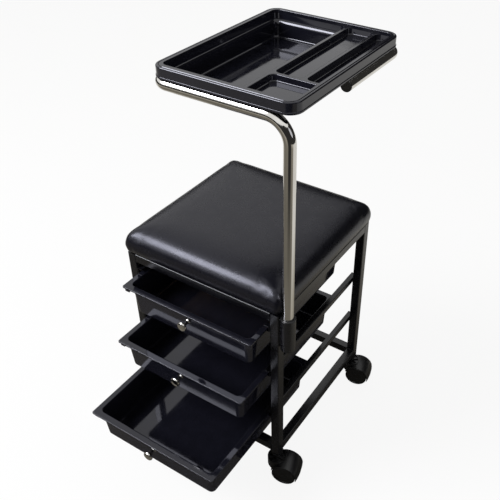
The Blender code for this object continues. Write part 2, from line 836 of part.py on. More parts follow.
def long_well(material):
    """The long compartment's walls and floor, below the shallow ones."""
    wall = TRAY_WALL
    round_foot = TRAY_FLOOR_ROUND
    corner = TRAY_CORNER_IN + wall
    bottom = TRAY_FLOOR - wall
    foot = grow(compartments(tray_well(), 0.0)["long"], wall)
    head = grow(compartments(tray_pan(), 0.0)["long"], wall)
    rings = [
        rounded_rect(grow(foot, -round_foot), corner - round_foot, bottom, 4),
        rounded_rect(foot, corner, bottom + round_foot, 4),
        rounded_rect(foot, corner, ROD_Z + TRAY_CLEAR, 4),
        rounded_rect(head, corner, PAN_FLOOR, 4),
    ]
    return mesh_object("tool", skin(rings), material)


def tray_pocket(pocket, material):
    """What one compartment takes out of the tray."""
    wall = TRAY_WALL
    round_foot = TRAY_FLOOR_ROUND
    corner = TRAY_CORNER_IN - wall
    deck = TRAY_TOP - DIVIDER_DROP
    mouth = grow(tray_mouth(), -wall / 2)
    pan = tray_pan()
    well = tray_well()
    levels = [(mouth, 0.0, corner, deck + wall, 0.0), (mouth, 0.0, corner, deck, 0.0)]
    if pocket == "long":
        levels += [
            (pan, DIVIDER_DRAFT, corner, PAN_FLOOR, 0.0),
            (well, DIVIDER_DRAFT, corner, ROD_Z + TRAY_CLEAR, 0.0),
            (well, DIVIDER_DRAFT, corner, TRAY_FLOOR + round_foot, 0.0),
            (well, DIVIDER_DRAFT, corner - round_foot, TRAY_FLOOR, round_foot),
        ]
    else:
        levels += [
            (pan, DIVIDER_DRAFT, corner, PAN_FLOOR + round_foot, 0.0),
            (pan, DIVIDER_DRAFT, corner - round_foot, PAN_FLOOR, round_foot),
        ]
    rings = []
    for rect, draft, radius, z, inset in levels:
        floor = compartments(rect, draft)[pocket]
        rings.append(rounded_rect(grow(floor, -inset), radius, z, 4))
    return mesh_object("tool", skin(rings), material)


def screw_boss(place, material):
    x, y = place
    start = (x, y, ROD_Z + ROD_R + GAP)
    return pin("tool", material, BOSS_R, start, (x, y, TRAY_TOP - TRAY_RIM_T / 2), 12)


def screw_pilot(place, material):
    x, y = place
    start = (x, y, ROD_Z + ROD_R - GAP)
    return pin("tool", material, TRAY_SCREW_R + RUN, start, (x, y, ROD_Z + ROD_R + TRAY_SCREW_BITE + GAP), 12)


def make_tray_screws(material):
    head = TRAY_SCREW_HEAD_R
    thick = TRAY_SCREW_HEAD_T
    seat = -ROD_R - GAP
    reach = ROD_R + TRAY_SCREW_BITE
    profile = [
        (0.0, seat - thick),
        (head * SCREW_FACE, seat - thick),
        (head, seat - thick / 2),
        (head, seat),
        (TRAY_SCREW_R, seat),
        (TRAY_SCREW_R, reach - SCREW_TIP),
        (TRAY_SCREW_R - SCREW_TIP, reach),
        (0.0, reach),
    ]
    for hand, (x, y) in tray_screw_places().items():
        screw = mesh_object("tray_screw_" + hand, lathe(profile, 12), material)
        screw.location = (x, y, ROD_Z)


# Casters.  Each is made with its stem on the Z axis and its wheels trailing
# along +X, and then turned to its heading.

def on_axle(bm):
    """Lays a shape turned round Z on the axle's line, along Y."""
    bm.transform(Matrix.Translation((TRAIL, 0, WHEEL_R)) @ Matrix.Rotation(math.radians(-90), 4, 'X'))


def hood_block(name, material):
    """Barrel-shaped drum that the hood is cut from."""
    edge = SLOT_R + HOOD_EDGE_T
    profile = []
    for share in HOOD_SHARES:
        profile.append((edge + HOOD_CROWN * (1 - share * share), WHEEL_FACE * share))
    bm = skin([circle(radius, z, HOOD_SIDES) for radius, z in profile])
    on_axle(bm)
    return mesh_object(name, bm, material)


def hood_mouth(material):
    """Wedge that cuts the hood's mouth, falling from front to rear."""
    far = 2 * CUP_R + SLOT_R
    fall = (HOOD_FRONT_LIFT + HOOD_REAR_DROP) / (2 * SLOT_R)
    middle = WHEEL_R + (HOOD_FRONT_LIFT - HOOD_REAR_DROP) / 2
    outline = [
        (TRAIL - far, middle + fall * far),
        (TRAIL - far, -far),
        (TRAIL + far, -far),
        (TRAIL + far, middle - fall * far),
    ]
    rings = [[Vector((u, side * far, z)) for u, z in outline] for side in (-1, 1)]
    return mesh_object("tool", skin(rings), material, smooth=False)


def wheel_slot(side, material):
    """Room for one wheel, open at the housing's side."""
    rings = [circle(SLOT_R, side * z, HOOD_SIDES) for z in (WEB_T / 2, 2 * WHEEL_FACE)]
    bm = skin(rings)
    on_axle(bm)
    return mesh_object("tool", bm, material)


def cup_pocket(index, material):
    """One sector of the recess round the stem's sleeve, between two ribs."""
    sector = 2 * math.pi / CUP_RIBS
    outer = CUP_R - CUP_WALL
    inner = STEM_SLEEVE_R
    corners = []
    for radius, order in ((outer, (-1, 0, 1)), (inner, (1, 0, -1))):
        half = sector / 2 - math.asin(CUP_RIB_T / 2 / radius)
        for step in order:
            turn = sector * index + half * step
            corners.append((radius * math.cos(turn), radius * math.sin(turn)))
    levels = (CUP_TOP - CUP_DEPTH, CUP_TOP + CUP_DEPTH)
    rings = [[Vector((x, y, z)) for x, y in corners] for z in levels]
    return mesh_object("tool", skin(rings), material, smooth=False)


def make_housing(name, material):
    """Hood and web in one moulding, with a ribbed cup over the stem."""
    housing = hood_block(name, material)
    fuse(housing, pin("tool", material, CUP_R, (0, 0, CUP_FOOT), (0, 0, CUP_TOP), 24))
    for index in range(CUP_RIBS):
        cut(housing, cup_pocket(index, material))
    cut(housing, hood_mouth(material))
    web = WEB_T / 2 + HOOD_PLAY
    fuse(housing, pin("tool", material, WEB_R, (TRAIL, -web, WHEEL_R), (TRAIL, web, WHEEL_R), 20))
    for side in (-1, 1):
        cut(housing, wheel_slot(side, material))
    fuse(housing, pin("tool", material, STEM_SLEEVE_R + GAP, (0, 0, CUP_TOP - 2 * CUP_DEPTH),
                      (0, 0, SLEEVE_TOP), 16))
    cut(housing, pin("tool", material, STEM_R + GAP, (0, 0, SLEEVE_TOP - STEM_IN_HOUSING - GAP),
                     (0, 0, CASTER_H), 12))
    cut(housing, pin("tool", material, AXLE_R + GAP, (TRAIL, -WHEEL_FACE, WHEEL_R),
                     (TRAIL, WHEEL_FACE, WHEEL_R), 12))
    return housing


def make_stem(name, material):
    """Steel pin with a collar, held in the housing and turning in the post's insert."""
    foot = SLEEVE_TOP - STEM_IN_HOUSING
    head = POST_FOOT + STEM_IN_POST
    collar = SLEEVE_TOP + GAP
    profile = [
        (0.0, foot),
        (STEM_R, foot),
        (STEM_R, collar),
        (STEM_COLLAR_R, collar),
        (STEM_COLLAR_R, collar + STEM_COLLAR_T),
        (STEM_R, collar + STEM_COLLAR_T),
        (STEM_R, head),
        (0.0, head),
    ]
    return mesh_object(name, lathe(profile, 10), material)


def make_insert(name, material):
    """Square plug in the post's end, bored for the caster's stem."""
    half = TUBE / 2
    bore = STEM_R + RUN
    outer = (-half, half, -half, half)
    inner = grow(outer, -TUBE_WALL - GAP)
    foot = POST_FOOT - GAP - INSERT_FLANGE
    rings = [
        rounded_rect(outer, TUBE_CORNER, foot, 1),
        rounded_rect(outer, TUBE_CORNER, POST_FOOT - GAP, 1),
        rounded_rect(inner, TUBE_CORNER, POST_FOOT - GAP, 1),
        rounded_rect(inner, TUBE_CORNER, POST_FOOT + INSERT_H, 1),
    ]
    plug = mesh_object(name, skin(rings), material, smooth=False)
    cut(plug, pin("tool", material, bore, (0, 0, foot - RUN), (0, 0, POST_FOOT + INSERT_H + RUN), 12))
    return plug


def make_axle(name, material):
    half = WEB_T / 2 + SIDE_PLAY + AXLE_REACH
    ease = AXLE_EASE
    bm = lathe([(0.0, -half), (AXLE_R - ease, -half), (AXLE_R, -half + ease),
                (AXLE_R, half - ease), (AXLE_R - ease, half), (0.0, half)], 12)
    bm.transform(Matrix.Rotation(math.radians(-90), 4, 'X'))
    return mesh_object(name, bm, material)


def make_wheel(name, side, material):
    """One of the twin wheels: a flat-treaded disc with a shallow dish in its outer face."""
    near = WEB_T / 2 + SIDE_PLAY
    far = WHEEL_FACE
    tread = WHEEL_R / math.cos(math.pi / WHEEL_SIDES)
    bore_end = near + AXLE_REACH + GAP
    ease = TREAD_ROUND
    profile = [
        (0.0, bore_end),
        (AXLE_R + RUN, bore_end),
        (AXLE_R + RUN, near),
        (tread - ease, near),
        (tread, near + ease),
        (tread, far - ease),
        (tread - ease, far),
        (tread - WHEEL_RIM, far),
        (tread - WHEEL_RIM - WHEEL_DISH, far - WHEEL_DISH),
        (0.0, far - WHEEL_DISH),
    ]
    bm = lathe([(radius, side * out) for radius, out in profile], WHEEL_SIDES)
    bm.transform(Matrix.Rotation(math.pi / WHEEL_SIDES, 4, 'Z'))
    bm.transform(Matrix.Rotation(math.radians(-90), 4, 'X'))
    return mesh_object(name, bm, material)


def make_casters(body_material, steel, nylon, wheel_material):
    for corner, (x, y) in CORNERS.items():
        heading = math.radians(CASTER_HEADINGS[corner])
        insert = make_insert("stem_insert_" + corner, nylon)
        insert.location = (x, y, 0)
        swivel = bpy.data.objects.new("caster_" + corner, None)
        bpy.context.scene.collection.objects.link(swivel)
        swivel.location = (x, y, 0)
        swivel.rotation_euler.z = heading
        housing = make_housing("caster_housing_" + corner, body_material)
        stem = make_stem("caster_stem_" + corner, steel)
        axle = make_axle("caster_axle_" + corner, steel)
        wheels = [
            make_wheel("wheel_%s_outer" % corner, -1, wheel_material),
            make_wheel("wheel_%s_inner" % corner, 1, wheel_material),
        ]
        for item in (axle, *wheels):
            item.location = (TRAIL, 0, WHEEL_R)
        for item in (housing, stem, axle, *wheels):
            item.parent = swivel


def centre_on_floor():
    """Slides the whole part so that the origin is under the middle of its box."""
    bpy.context.view_layer.update()
    xs = []
    ys = []
    for item in bpy.context.scene.objects:
        if item.type != 'MESH':
            continue
        for vertex in item.data.vertices:
            place = item.matrix_world @ vertex.co
            xs.append(place.x)
            ys.append(place.y)
    shift = Vector((-(min(xs) + max(xs)) / 2, -(min(ys) + max(ys)) / 2, 0.0))
    for item in bpy.context.scene.objects:
        if item.parent is None:
            item.location = item.location + shift
    bpy.context.view_layer.update()
    print("frame's centre line is at", [round(value, 6) for value in shift])


def main():
    clear_scene()
    coat = black_powder_coat()
    plastic = black_plastic()
    vinyl = black_vinyl()
    bright = chrome()
    steel = zinc_steel()
    nylon = grey_nylon()
    make_posts(coat)
    make_rails(coat)
    make_runners(coat)
    make_seat_board(plywood())
    make_cushion(vinyl)
    make_drawers(plastic, bright, steel)
    make_socket(coat)
    make_socket_bush(nylon)
    make_tray_rod(bright)
    make_rod_cap(plastic)
    make_tray(plastic)
    make_tray_screws(steel)
    make_casters(plastic, steel, nylon, wheel_plastic())
    centre_on_floor()


main()
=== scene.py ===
"""Finished looks of a rolling salon trolley.

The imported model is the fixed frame.  Every piece here takes its place from
that frame and stands for the nodes it replaces, in metres, +Z up, with the
drawers opening towards -Y.
"""

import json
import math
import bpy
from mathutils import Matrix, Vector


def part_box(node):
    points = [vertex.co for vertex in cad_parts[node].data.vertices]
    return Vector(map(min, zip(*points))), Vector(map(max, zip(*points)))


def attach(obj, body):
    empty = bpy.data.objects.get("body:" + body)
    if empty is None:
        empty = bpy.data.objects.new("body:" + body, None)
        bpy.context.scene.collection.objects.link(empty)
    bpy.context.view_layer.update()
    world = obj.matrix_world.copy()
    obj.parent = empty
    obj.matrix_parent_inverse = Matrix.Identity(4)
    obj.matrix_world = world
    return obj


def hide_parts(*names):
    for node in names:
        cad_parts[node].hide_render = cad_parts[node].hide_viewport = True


bl_info = {
    "name": "Rolling Salon Trolley",
    "version": (1, 0, 0),
    "blender": (4, 5, 0),
    "location": "3D View > Sidebar > Trolley",
    "description": "Builds a rolling salon trolley's finished drawers, seat, tool tray and frame",
    "category": "Object",
}

import bmesh
import bpy
from mathutils import Matrix, Vector

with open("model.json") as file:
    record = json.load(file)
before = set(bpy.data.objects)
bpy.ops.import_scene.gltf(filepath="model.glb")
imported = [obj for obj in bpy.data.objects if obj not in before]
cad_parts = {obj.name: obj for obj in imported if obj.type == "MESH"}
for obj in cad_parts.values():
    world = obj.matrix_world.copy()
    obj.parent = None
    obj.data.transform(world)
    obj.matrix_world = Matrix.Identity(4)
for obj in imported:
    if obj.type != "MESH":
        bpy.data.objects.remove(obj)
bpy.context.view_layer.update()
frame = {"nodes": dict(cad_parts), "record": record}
BODY_OF = {node: body for body, nodes in frame["record"]["behaviour"]["bodies"].items() for node in nodes}

LEVELS = ("top", "middle", "bottom")
CORNERS = ("front_left", "front_right", "rear_left", "rear_right")
SIDES = ("front", "rear", "left", "right")
POSTS = tuple("post_" + corner for corner in CORNERS)
RAILS = tuple(level + "_rail_" + side for level in ("upper", "lower") for side in SIDES)
RUNNERS = tuple("runner_%s_%s" % (level, hand) for level in LEVELS for hand in ("left", "right"))
GAP = 0.0003        # between faces that touch


# Places taken from the frame

def low(node):
    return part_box(node)[0]


def high(node):
    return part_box(node)[1]


def middle(node):
    return (low(node) + high(node)) / 2


FRAME_LOW = low("post_front_left")
FRAME_HIGH = high("post_rear_right")
CENTRE_X = (FRAME_LOW.x + FRAME_HIGH.x) / 2
CENTRE_Y = (FRAME_LOW.y + FRAME_HIGH.y) / 2
TUBE = high("post_front_left").x - FRAME_LOW.x
ROD_R = (high("rod_cap").z - low("rod_cap").z) / 2
TO_FRONT = Matrix.Rotation(math.pi / 2, 4, 'X')     # tips +Z over to -Y


# Colours and nodes

def linear(code):
    """Turns an sRGB hex colour into linear red, green, blue and alpha."""
    parts = [int(code[i:i + 2], 16) / 255 for i in (1, 3, 5)]
    return tuple(c / 12.92 if c <= 0.04045 else ((c + 0.055) / 1.055) ** 2.4 for c in parts) + (1.0,)


def set_stops(marks, stops):
    """Sets a colour ramp's stops, each a place and a hex colour."""
    for index, (spot, code) in enumerate(stops):
        mark = marks[index] if index < len(marks) else marks.new(spot)
        mark.position = spot
        mark.color = linear(code)


def add_node(tree, kind, inputs=None, **settings):
    """Adds a node, with its own settings and its inputs' values or links."""
    node = tree.nodes.new(kind)
    for name, value in settings.items():
        if name == "stops":
            set_stops(node.color_ramp.elements, value)
        else:
            setattr(node, name, value)
    for name, value in (inputs or {}).items():
        socket = node.inputs[name]
        if isinstance(value, bpy.types.NodeSocket):
            tree.links.new(value, socket)
        else:
            socket.default_value = value
    return node


def new_material(name):
    """An empty material; returns it with its tree and object coordinates."""
    material = bpy.data.materials.new(name)
    material.use_nodes = True
    tree = material.node_tree
    tree.nodes.clear()
    place = add_node(tree, "ShaderNodeTexCoord").outputs["Object"]
    return material, tree, place


def drifting(tree, drift, span, rough, stops, more, tint=None):
    """Surface whose roughness follows a noise over a span, and whose colour follows it or a tint."""
    spread = add_node(tree, "ShaderNodeMapRange", {
        "Value": drift, "From Min": span[0], "From Max": span[1], "To Min": rough[0], "To Max": rough[1]})
    colour = add_node(tree, "ShaderNodeValToRGB", {"Fac": drift if tint is None else tint}, stops=stops)
    return add_node(tree, "ShaderNodeBsdfPrincipled", {
        "Base Color": colour.outputs["Color"], "Roughness": spread.outputs["Result"], **more})


def finished(material, surface, height, depth, strength):
    """Bumps a surface by a height and joins it to its material's output."""
    tree = material.node_tree
    bump = add_node(tree, "ShaderNodeBump", {"Strength": strength, "Distance": depth, "Height": height})
    tree.links.new(bump.outputs["Normal"], surface.inputs["Normal"])
    add_node(tree, "ShaderNodeOutputMaterial", {"Surface": surface.outputs["BSDF"]})
    return material


def powder_coated_steel():
    """Mild steel tube, blasted and powder coated in glossy black polyester.

    The cured powder flows into a smooth skin with a fine orange peel about
    1.5 mm across, so reflections break up a little at their edges.
    """
    material, tree, place = new_material("powder_coated_steel")
    peel = add_node(tree, "ShaderNodeTexNoise", {
        "Vector": place, "Scale": 650.0, "Detail": 2.0, "Roughness": 0.45})
    cloud = add_node(tree, "ShaderNodeTexNoise", {"Vector": place, "Scale": 22.0, "Detail": 3.0})
    surface = drifting(tree, cloud.outputs["Fac"], (0.3, 0.7), (0.22, 0.30),
                       ((0.35, "#08080b"), (0.65, "#0c0c10")), {"IOR": 1.5})
    return finished(material, surface, peel.outputs["Fac"], 0.00004, 0.20)


def polished_moulding():
    """Injection-moulded black ABS from a polished tool.

    Skin is nearly mirror smooth; slow sink marks and flow waves a few
    centimetres long bend what it reflects, and handling leaves faint haze.
    """
    material, tree, place = new_material("polished_black_abs")
    waves = add_node(tree, "ShaderNodeTexNoise", {
        "Vector": place, "Scale": 18.0, "Detail": 1.0, "Roughness": 0.3})
    haze = add_node(tree, "ShaderNodeTexNoise", {
        "Vector": place, "Scale": 45.0, "Detail": 5.0, "Roughness": 0.6})
    surface = drifting(tree, haze.outputs["Fac"], (0.35, 0.7), (0.05, 0.10),
                       ((0.3, "#121218"), (0.7, "#16161d")),
                       {"IOR": 1.53, "Specular Tint": linear("#f0f0f6")})
    return finished(material, surface, waves.outputs["Fac"], 0.0004, 0.08)


def satin_moulding():
    """Injection-moulded black polyamide, from a tool with a fine spark-eroded skin.

    Grain is 0.4 mm across, just enough to spread highlights, with scuffed
    paler patches where feet and floors have rubbed it.
    """
    material, tree, place = new_material("satin_black_polyamide")
    grain = add_node(tree, "ShaderNodeTexNoise", {"Vector": place, "Scale": 2400.0, "Detail": 2.0})
    scuff = add_node(tree, "ShaderNodeTexNoise", {
        "Vector": place, "Scale": 130.0, "Detail": 6.0, "Roughness": 0.65})
    surface = drifting(tree, scuff.outputs["Fac"], (0.35, 0.7), (0.30, 0.42),
                       ((0.45, "#0b0b0c"), (0.75, "#131314")), {"IOR": 1.5})
    return finished(material, surface, grain.outputs["Fac"], 0.00005, 0.3)


def upholstery_vinyl():
    """Calendered PVC leathercloth on foam, embossed with a small leather grain.

    Grain cells are about 1.4 mm across with soft pores between them, so a
    broad lamp breaks into fine sparkle on the rolls, and flexing leaves
    slow ripples over the foam. The colour is darker in the pores: painted
    shade in the grain's recesses.
    """
    material, tree, place = new_material("black_upholstery_vinyl")
    drift = add_node(tree, "ShaderNodeTexNoise", {"Vector": place, "Scale": 260.0, "Detail": 2.0})
    bent = add_node(tree, "ShaderNodeMixRGB", {
        "Fac": 0.0012, "Color1": place, "Color2": drift.outputs["Color"]}, blend_type='LINEAR_LIGHT')
    cells = add_node(tree, "ShaderNodeTexVoronoi", {
        "Vector": bent.outputs["Color"], "Scale": 720.0}, feature='DISTANCE_TO_EDGE')
    pores = add_node(tree, "ShaderNodeMapRange", {
        "Value": cells.outputs["Distance"], "From Min": 0.0, "From Max": 0.18},
        interpolation_type='SMOOTHSTEP')
    ripple = add_node(tree, "ShaderNodeTexNoise", {
        "Vector": place, "Scale": 34.0, "Detail": 3.0, "Roughness": 0.5})
    height = add_node(tree, "ShaderNodeMath", {
        0: ripple.outputs["Fac"], 1: 5.0, 2: pores.outputs["Result"]}, operation='MULTIPLY_ADD')
    # colour follows the pores: painted shade, darker in the grain's recesses
    surface = drifting(tree, ripple.outputs["Fac"], (0.3, 0.7), (0.25, 0.31),
                       ((0.0, "#08080c"), (1.0, "#0f0f16")),
                       {"IOR": 1.45, "Specular Tint": linear("#e6e6f1")}, pores.outputs["Result"])
    return finished(material, surface, height.outputs["Value"], 0.00012, 0.24)


def chrome_plate():
    """Bright nickel-chrome plate on drawn and bent steel tube.

    Mirror finish with faint buffing haze, drawn out upwards, and a little
    warm tint from the nickel below.
    """
    material, tree, place = new_material("polished_chrome")
    stretch = add_node(tree, "ShaderNodeMapping", {"Vector": place, "Scale": (1.0, 1.0, 0.15)})
    haze = add_node(tree, "ShaderNodeTexNoise", {
        "Vector": stretch.outputs["Vector"], "Scale": 90.0, "Detail": 4.0})
    surface = drifting(tree, haze.outputs["Fac"], (0.3, 0.7), (0.05, 0.13),
                       ((0.3, "#d2d0cb"), (0.7, "#dedcd8")), {"Metallic": 1.0})
    return finished(material, surface, haze.outputs["Fac"], 0.0001, 0.05)


def zinc_plate():
    """Cold-formed steel, bright zinc plated: a soft bluish shine with rolled-in mottle."""
    material, tree, place = new_material("bright_zinc_steel")
    mottle = add_node(tree, "ShaderNodeTexNoise", {"Vector": place, "Scale": 700.0, "Detail": 3.0})
    surface = drifting(tree, mottle.outputs["Fac"], (0.3, 0.7), (0.24, 0.38),
                       ((0.3, "#9b9ea3"), (0.7, "#b4b6ba")), {"Metallic": 1.0})
    return finished(material, surface, mottle.outputs["Fac"], 0.00004, 0.3)


def moulded_nylon():
    """Unfilled nylon, moulded black: a waxy, slightly mottled sheen on bushes and plugs."""
    material, tree, place = new_material("waxy_black_nylon")
    mottle = add_node(tree, "ShaderNodeTexNoise", {"Vector": place, "Scale": 320.0, "Detail": 3.0})
    surface = drifting(tree, mottle.outputs["Fac"], (0.3, 0.7), (0.34, 0.44),
                       ((0.3, "#0f0f10"), (0.7, "#161618")), {"IOR": 1.53})
    return finished(material, surface, mottle.outputs["Fac"], 0.00005, 0.25)


def birch_plywood():
    """Rotary-cut birch plywood, raw: long wavy figure and fine pores on its faces."""
    material, tree, place = new_material("raw_birch_plywood")
    stretch = add_node(tree, "ShaderNodeMapping", {"Vector": place, "Scale": (9.0, 1.0, 40.0)})
    figure = add_node(tree, "ShaderNodeTexNoise", {
        "Vector": stretch.outputs["Vector"], "Scale": 6.0, "Detail": 6.0, "Distortion": 1.2})
    pores = add_node(tree, "ShaderNodeTexNoise", {
        "Vector": stretch.outputs["Vector"], "Scale": 160.0, "Detail": 2.0})
    colour = add_node(tree, "ShaderNodeValToRGB", {"Fac": figure.outputs["Fac"]}, stops=(
        (0.25, "#a9825a"), (0.5, "#c6a175"), (0.75, "#d8b98c")))
    surface = add_node(tree, "ShaderNodeBsdfPrincipled", {
        "Base Color": colour.outputs["Color"], "Roughness": 0.72, "IOR": 1.45})
    return finished(material, surface, pores.outputs["Fac"], 0.00015, 0.4)


FINISHES = {
    "powder_coat": powder_coated_steel,
    "moulded_plastic": polished_moulding,
    "wheel_plastic": satin_moulding,
    "vinyl": upholstery_vinyl,
    "chrome": chrome_plate,
    "zinc_steel": zinc_plate,
    "nylon": moulded_nylon,
    "plywood": birch_plywood,
}
made_finishes = {}


def finish_for(slot):
    """Material of a slot, made once."""
    if slot not in made_finishes:
        made_finishes[slot] = FINISHES[slot]()
    return made_finishes[slot]


# Mesh work

def linked(name, data):
    """A new object in the scene for a mesh, lamp or camera."""
    item = bpy.data.objects.new(name, data)
    bpy.context.scene.collection.objects.link(item)
    return item


def mesh_object(name, bm):
    """Object with its mesh from bm, at the origin."""
    mesh = bpy.data.meshes.new(name)
    bm.to_mesh(mesh)
    bm.free()
    return linked(name, mesh)


def new_object(name, bm):
    """Object from bm, with its faces turned outwards."""
    bmesh.ops.recalc_face_normals(bm, faces=bm.faces[:])
    return mesh_object(name, bm)


def baked(piece):
    """Turns a piece's modifiers into plain mesh."""
    depsgraph = bpy.context.evaluated_depsgraph_get()
    mesh = bpy.data.meshes.new_from_object(piece.evaluated_get(depsgraph))
    old = piece.data
    piece.modifiers.clear()
    piece.data = mesh
    mesh.name = piece.name
    bpy.data.meshes.remove(old)
    return piece


def changed(piece, kind, **settings):
    """Adds a modifier with its settings and bakes it."""
    step = piece.modifiers.new(kind.lower(), kind)
    for name, value in settings.items():
        setattr(step, name, value)
    return baked(piece)


def boolean(piece, tool, operation):
    changed(piece, 'BOOLEAN', operation=operation, solver='EXACT', object=tool)
    bpy.data.objects.remove(tool, do_unlink=True)


def soften(piece, width=0.0, angle=35.0):
    """Bevels a piece's hard edges and shades it so that flat faces stay flat."""
    if width:
        changed(piece, 'BEVEL', width=width, segments=2, limit_method='ANGLE',
                angle_limit=math.radians(angle), use_clamp_overlap=True)
    piece.data.shade_smooth()
    piece.data.set_sharp_from_angle(angle=math.radians(angle + 5))
    return changed(piece, 'WEIGHTED_NORMAL', keep_sharp=True)


def declare(piece, slot, nodes, body=None):
    """Gives a piece its finish, body and the nodes it stands for."""
    piece.data.materials.clear()
    piece.data.materials.append(finish_for(slot))
    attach(piece, body or BODY_OF[nodes[0]])
    if nodes:
        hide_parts(*nodes)
    return piece


def joined(name, pieces):
    """One object from several."""
    bm = bmesh.new()
    for piece in pieces:
        bm.from_mesh(piece.data)
        bpy.data.objects.remove(piece, do_unlink=True)
    return mesh_object(name, bm)


def copy_of_node(name, node):
    """A merged copy of a frame node's mesh, with its flat faces whole again."""
    bm = bmesh.new()
    bm.from_mesh(frame["nodes"][node].data)
    bmesh.ops.remove_doubles(bm, verts=bm.verts[:], dist=0.00001)
    bmesh.ops.dissolve_limit(bm, angle_limit=math.radians(1.0), verts=bm.verts[:], edges=bm.edges[:])
    return new_object(name, bm)


def grow(rect, by):
    """Rectangle moved outwards on all four sides."""
    x0, x1, y0, y1 = rect
    return (x0 - by, x1 + by, y0 - by, y1 + by)


def rounded_ring(rect, radius, z, steps=8):
    """Corner points of a rectangle with rounded corners, anticlockwise."""
    x0, x1, y0, y1 = grow(rect, -radius)
    points = []
    for turn, (cx, cy) in enumerate(((x1, y0), (x1, y1), (x0, y1), (x0, y0))):
        for step in range(steps + 1):
            angle = math.radians(90 * (turn - 1 + step / steps))
            points.append(Vector((cx + radius * math.cos(angle), cy + radius * math.sin(angle), z)))
    return points


def circle_ring(radius, z, sides):
    angles = [2 * math.pi * i / sides for i in range(sides)]
    return [Vector((radius * math.cos(angle), radius * math.sin(angle), z)) for angle in angles]


def wall_faces(bm, rows, closed=True):
    """Faces between rows of equal counts, which run round or stay open."""
    for lower, upper in zip(rows, rows[1:]):
        count = len(lower)
        for i in range(count if closed else count - 1):
            j = (i + 1) % count
            bm.faces.new((lower[i], lower[j], upper[j], upper[i]))


def loft(rings):
    """Closed skin through rings of equal point counts, capped at both ends."""
    bm = bmesh.new()
    rows = [[bm.verts.new(point) for point in ring] for ring in rings]
    wall_faces(bm, rows)
    bm.faces.new(rows[0][::-1])
    bm.faces.new(rows[-1])
    return bm


def turned(profile, sides):
    """Solid of revolution round Z; profile is (radius, z) from axis to axis or a closed loop."""
    bm = bmesh.new()
    tiny = 0.000001
    rows = []
    for radius, z in profile:
        ring = circle_ring(radius, z, sides) if radius >= tiny else [(0, 0, z)]
        rows.append([bm.verts.new(point) for point in ring])
    closed = profile[0][0] > tiny
    pairs = list(zip(rows, rows[1:])) + ([(rows[-1], rows[0])] if closed else [])
    for first, second in pairs:
        for i in range(sides):
            j = (i + 1) % sides
            ring = [row[k % len(row)] for row, k in ((first, i), (first, j), (second, j), (second, i))]
            face = [v for k, v in enumerate(ring) if v not in ring[:k]]
            if len(face) > 2:
                bm.faces.new(face)
    return bm


def turned_piece(name, profile, sides, spot, turn=None):
    """Turned piece with its foot at a spot; turn tips its axis over from +Z."""
    piece = new_object(name, turned(profile, sides))
    piece.data.transform(Matrix.Translation(spot) @ (turn or Matrix()))
    return piece


def round_corner(start, corner, end, radius, steps=5):
    """Points that round a corner of a (radius, z) profile."""
    corner = Vector(corner)
    a = Vector(start) - corner
    b = Vector(end) - corner
    reach = min(radius / math.tan(a.angle(b) / 2), a.length * 0.49, b.length * 0.49)
    first = corner + a.normalized() * reach
    last = corner + b.normalized() * reach
    shares = [step / steps for step in range(steps + 1)]
    return [tuple(first * (1 - t) ** 2 + corner * 2 * t * (1 - t) + last * t ** 2) for t in shares]


def rounded_profile(corners, radii, steps=5):
    """Profile whose inner corners are rounded, each by its own radius."""
    points = [corners[0]]
    for before, corner, after, radius in zip(corners, corners[1:], corners[2:], radii):
        if radius:
            points += round_corner(before, corner, after, radius, steps)
        else:
            points.append(corner)
    points.append(corners[-1])
    return points


def bend(rect, corner, z, rise, radius, outward=False, steps=5):
    """Rings that turn a flat face at z into a wall; rise is the wall's side of it, up or down."""
    rings = []
    for step in range(steps + 1):
        angle = math.radians(90 * step / steps)
        inset = radius * (1 - math.sin(angle))
        level = z + rise * radius * (1 - math.cos(angle))
        shift = inset if outward else -inset
        rings.append(rounded_ring(grow(rect, shift), max(corner + shift, 0.0002), level))
    return rings


def pan_screw(name, node, thick, shank, long, spot, turn=None):
    """Cross-recessed pan head screw for a node, its head's face at a spot; turn tips it from +Z."""
    head = (high(node).x - low(node).x) / 2
    profile = rounded_profile(
        [(0, 0), (head * 0.62, 0), (head, thick * 0.6), (head, thick), (shank, thick),
         (shank, long - 0.0008), (shank * 0.6, long), (0, long)],
        (head * 0.4, head * 0.2, 0.0001, 0.0, 0.0, 0.0), 4)
    screw = new_object(name, turned(profile, 28))
    arm = (-head * 0.55, head * 0.55, -head * 0.11, head * 0.11)
    for quarter in (0, 90):
        rings = [rounded_ring(arm, head * 0.05, z, 2) for z in (-thick, thick * 0.62)]
        recess = new_object("recess", loft(rings))
        recess.data.transform(Matrix.Rotation(math.radians(quarter), 4, 'Z'))
        boolean(screw, recess, 'DIFFERENCE')
    screw.data.transform(Matrix.Translation(spot) @ (turn or Matrix()))
    declare(soften(screw), "zinc_steel", (node,))


def finished_copy(name, node, slot, width, angle=35.0):
    """Stands for a frame node with a copy of it whose hard edges are bevelled."""
    declare(soften(copy_of_node(name, node), width, angle), slot, (node,))


# Geometry Nodes

def new_tree(name, sockets):
    """Geometry tree with its inputs, a material last; returns it with them and its wire as a curve."""
    tree = bpy.data.node_groups.new(name, 'GeometryNodeTree')
    tree.interface.new_socket(name="Geometry", in_out='INPUT', socket_type='NodeSocketGeometry')
    for title, kind, value in sockets:
        socket = tree.interface.new_socket(name=title, in_out='INPUT', socket_type=kind)
        socket.default_value = value
    tree.interface.new_socket(name="Material", in_out='INPUT', socket_type='NodeSocketMaterial')
    tree.interface.new_socket(name="Geometry", in_out='OUTPUT', socket_type='NodeSocketGeometry')
    source = add_node(tree, "NodeGroupInput").outputs
    path = add_node(tree, "GeometryNodeMeshToCurve", {"Mesh": source["Geometry"]})
    return tree, source, path.outputs["Curve"]


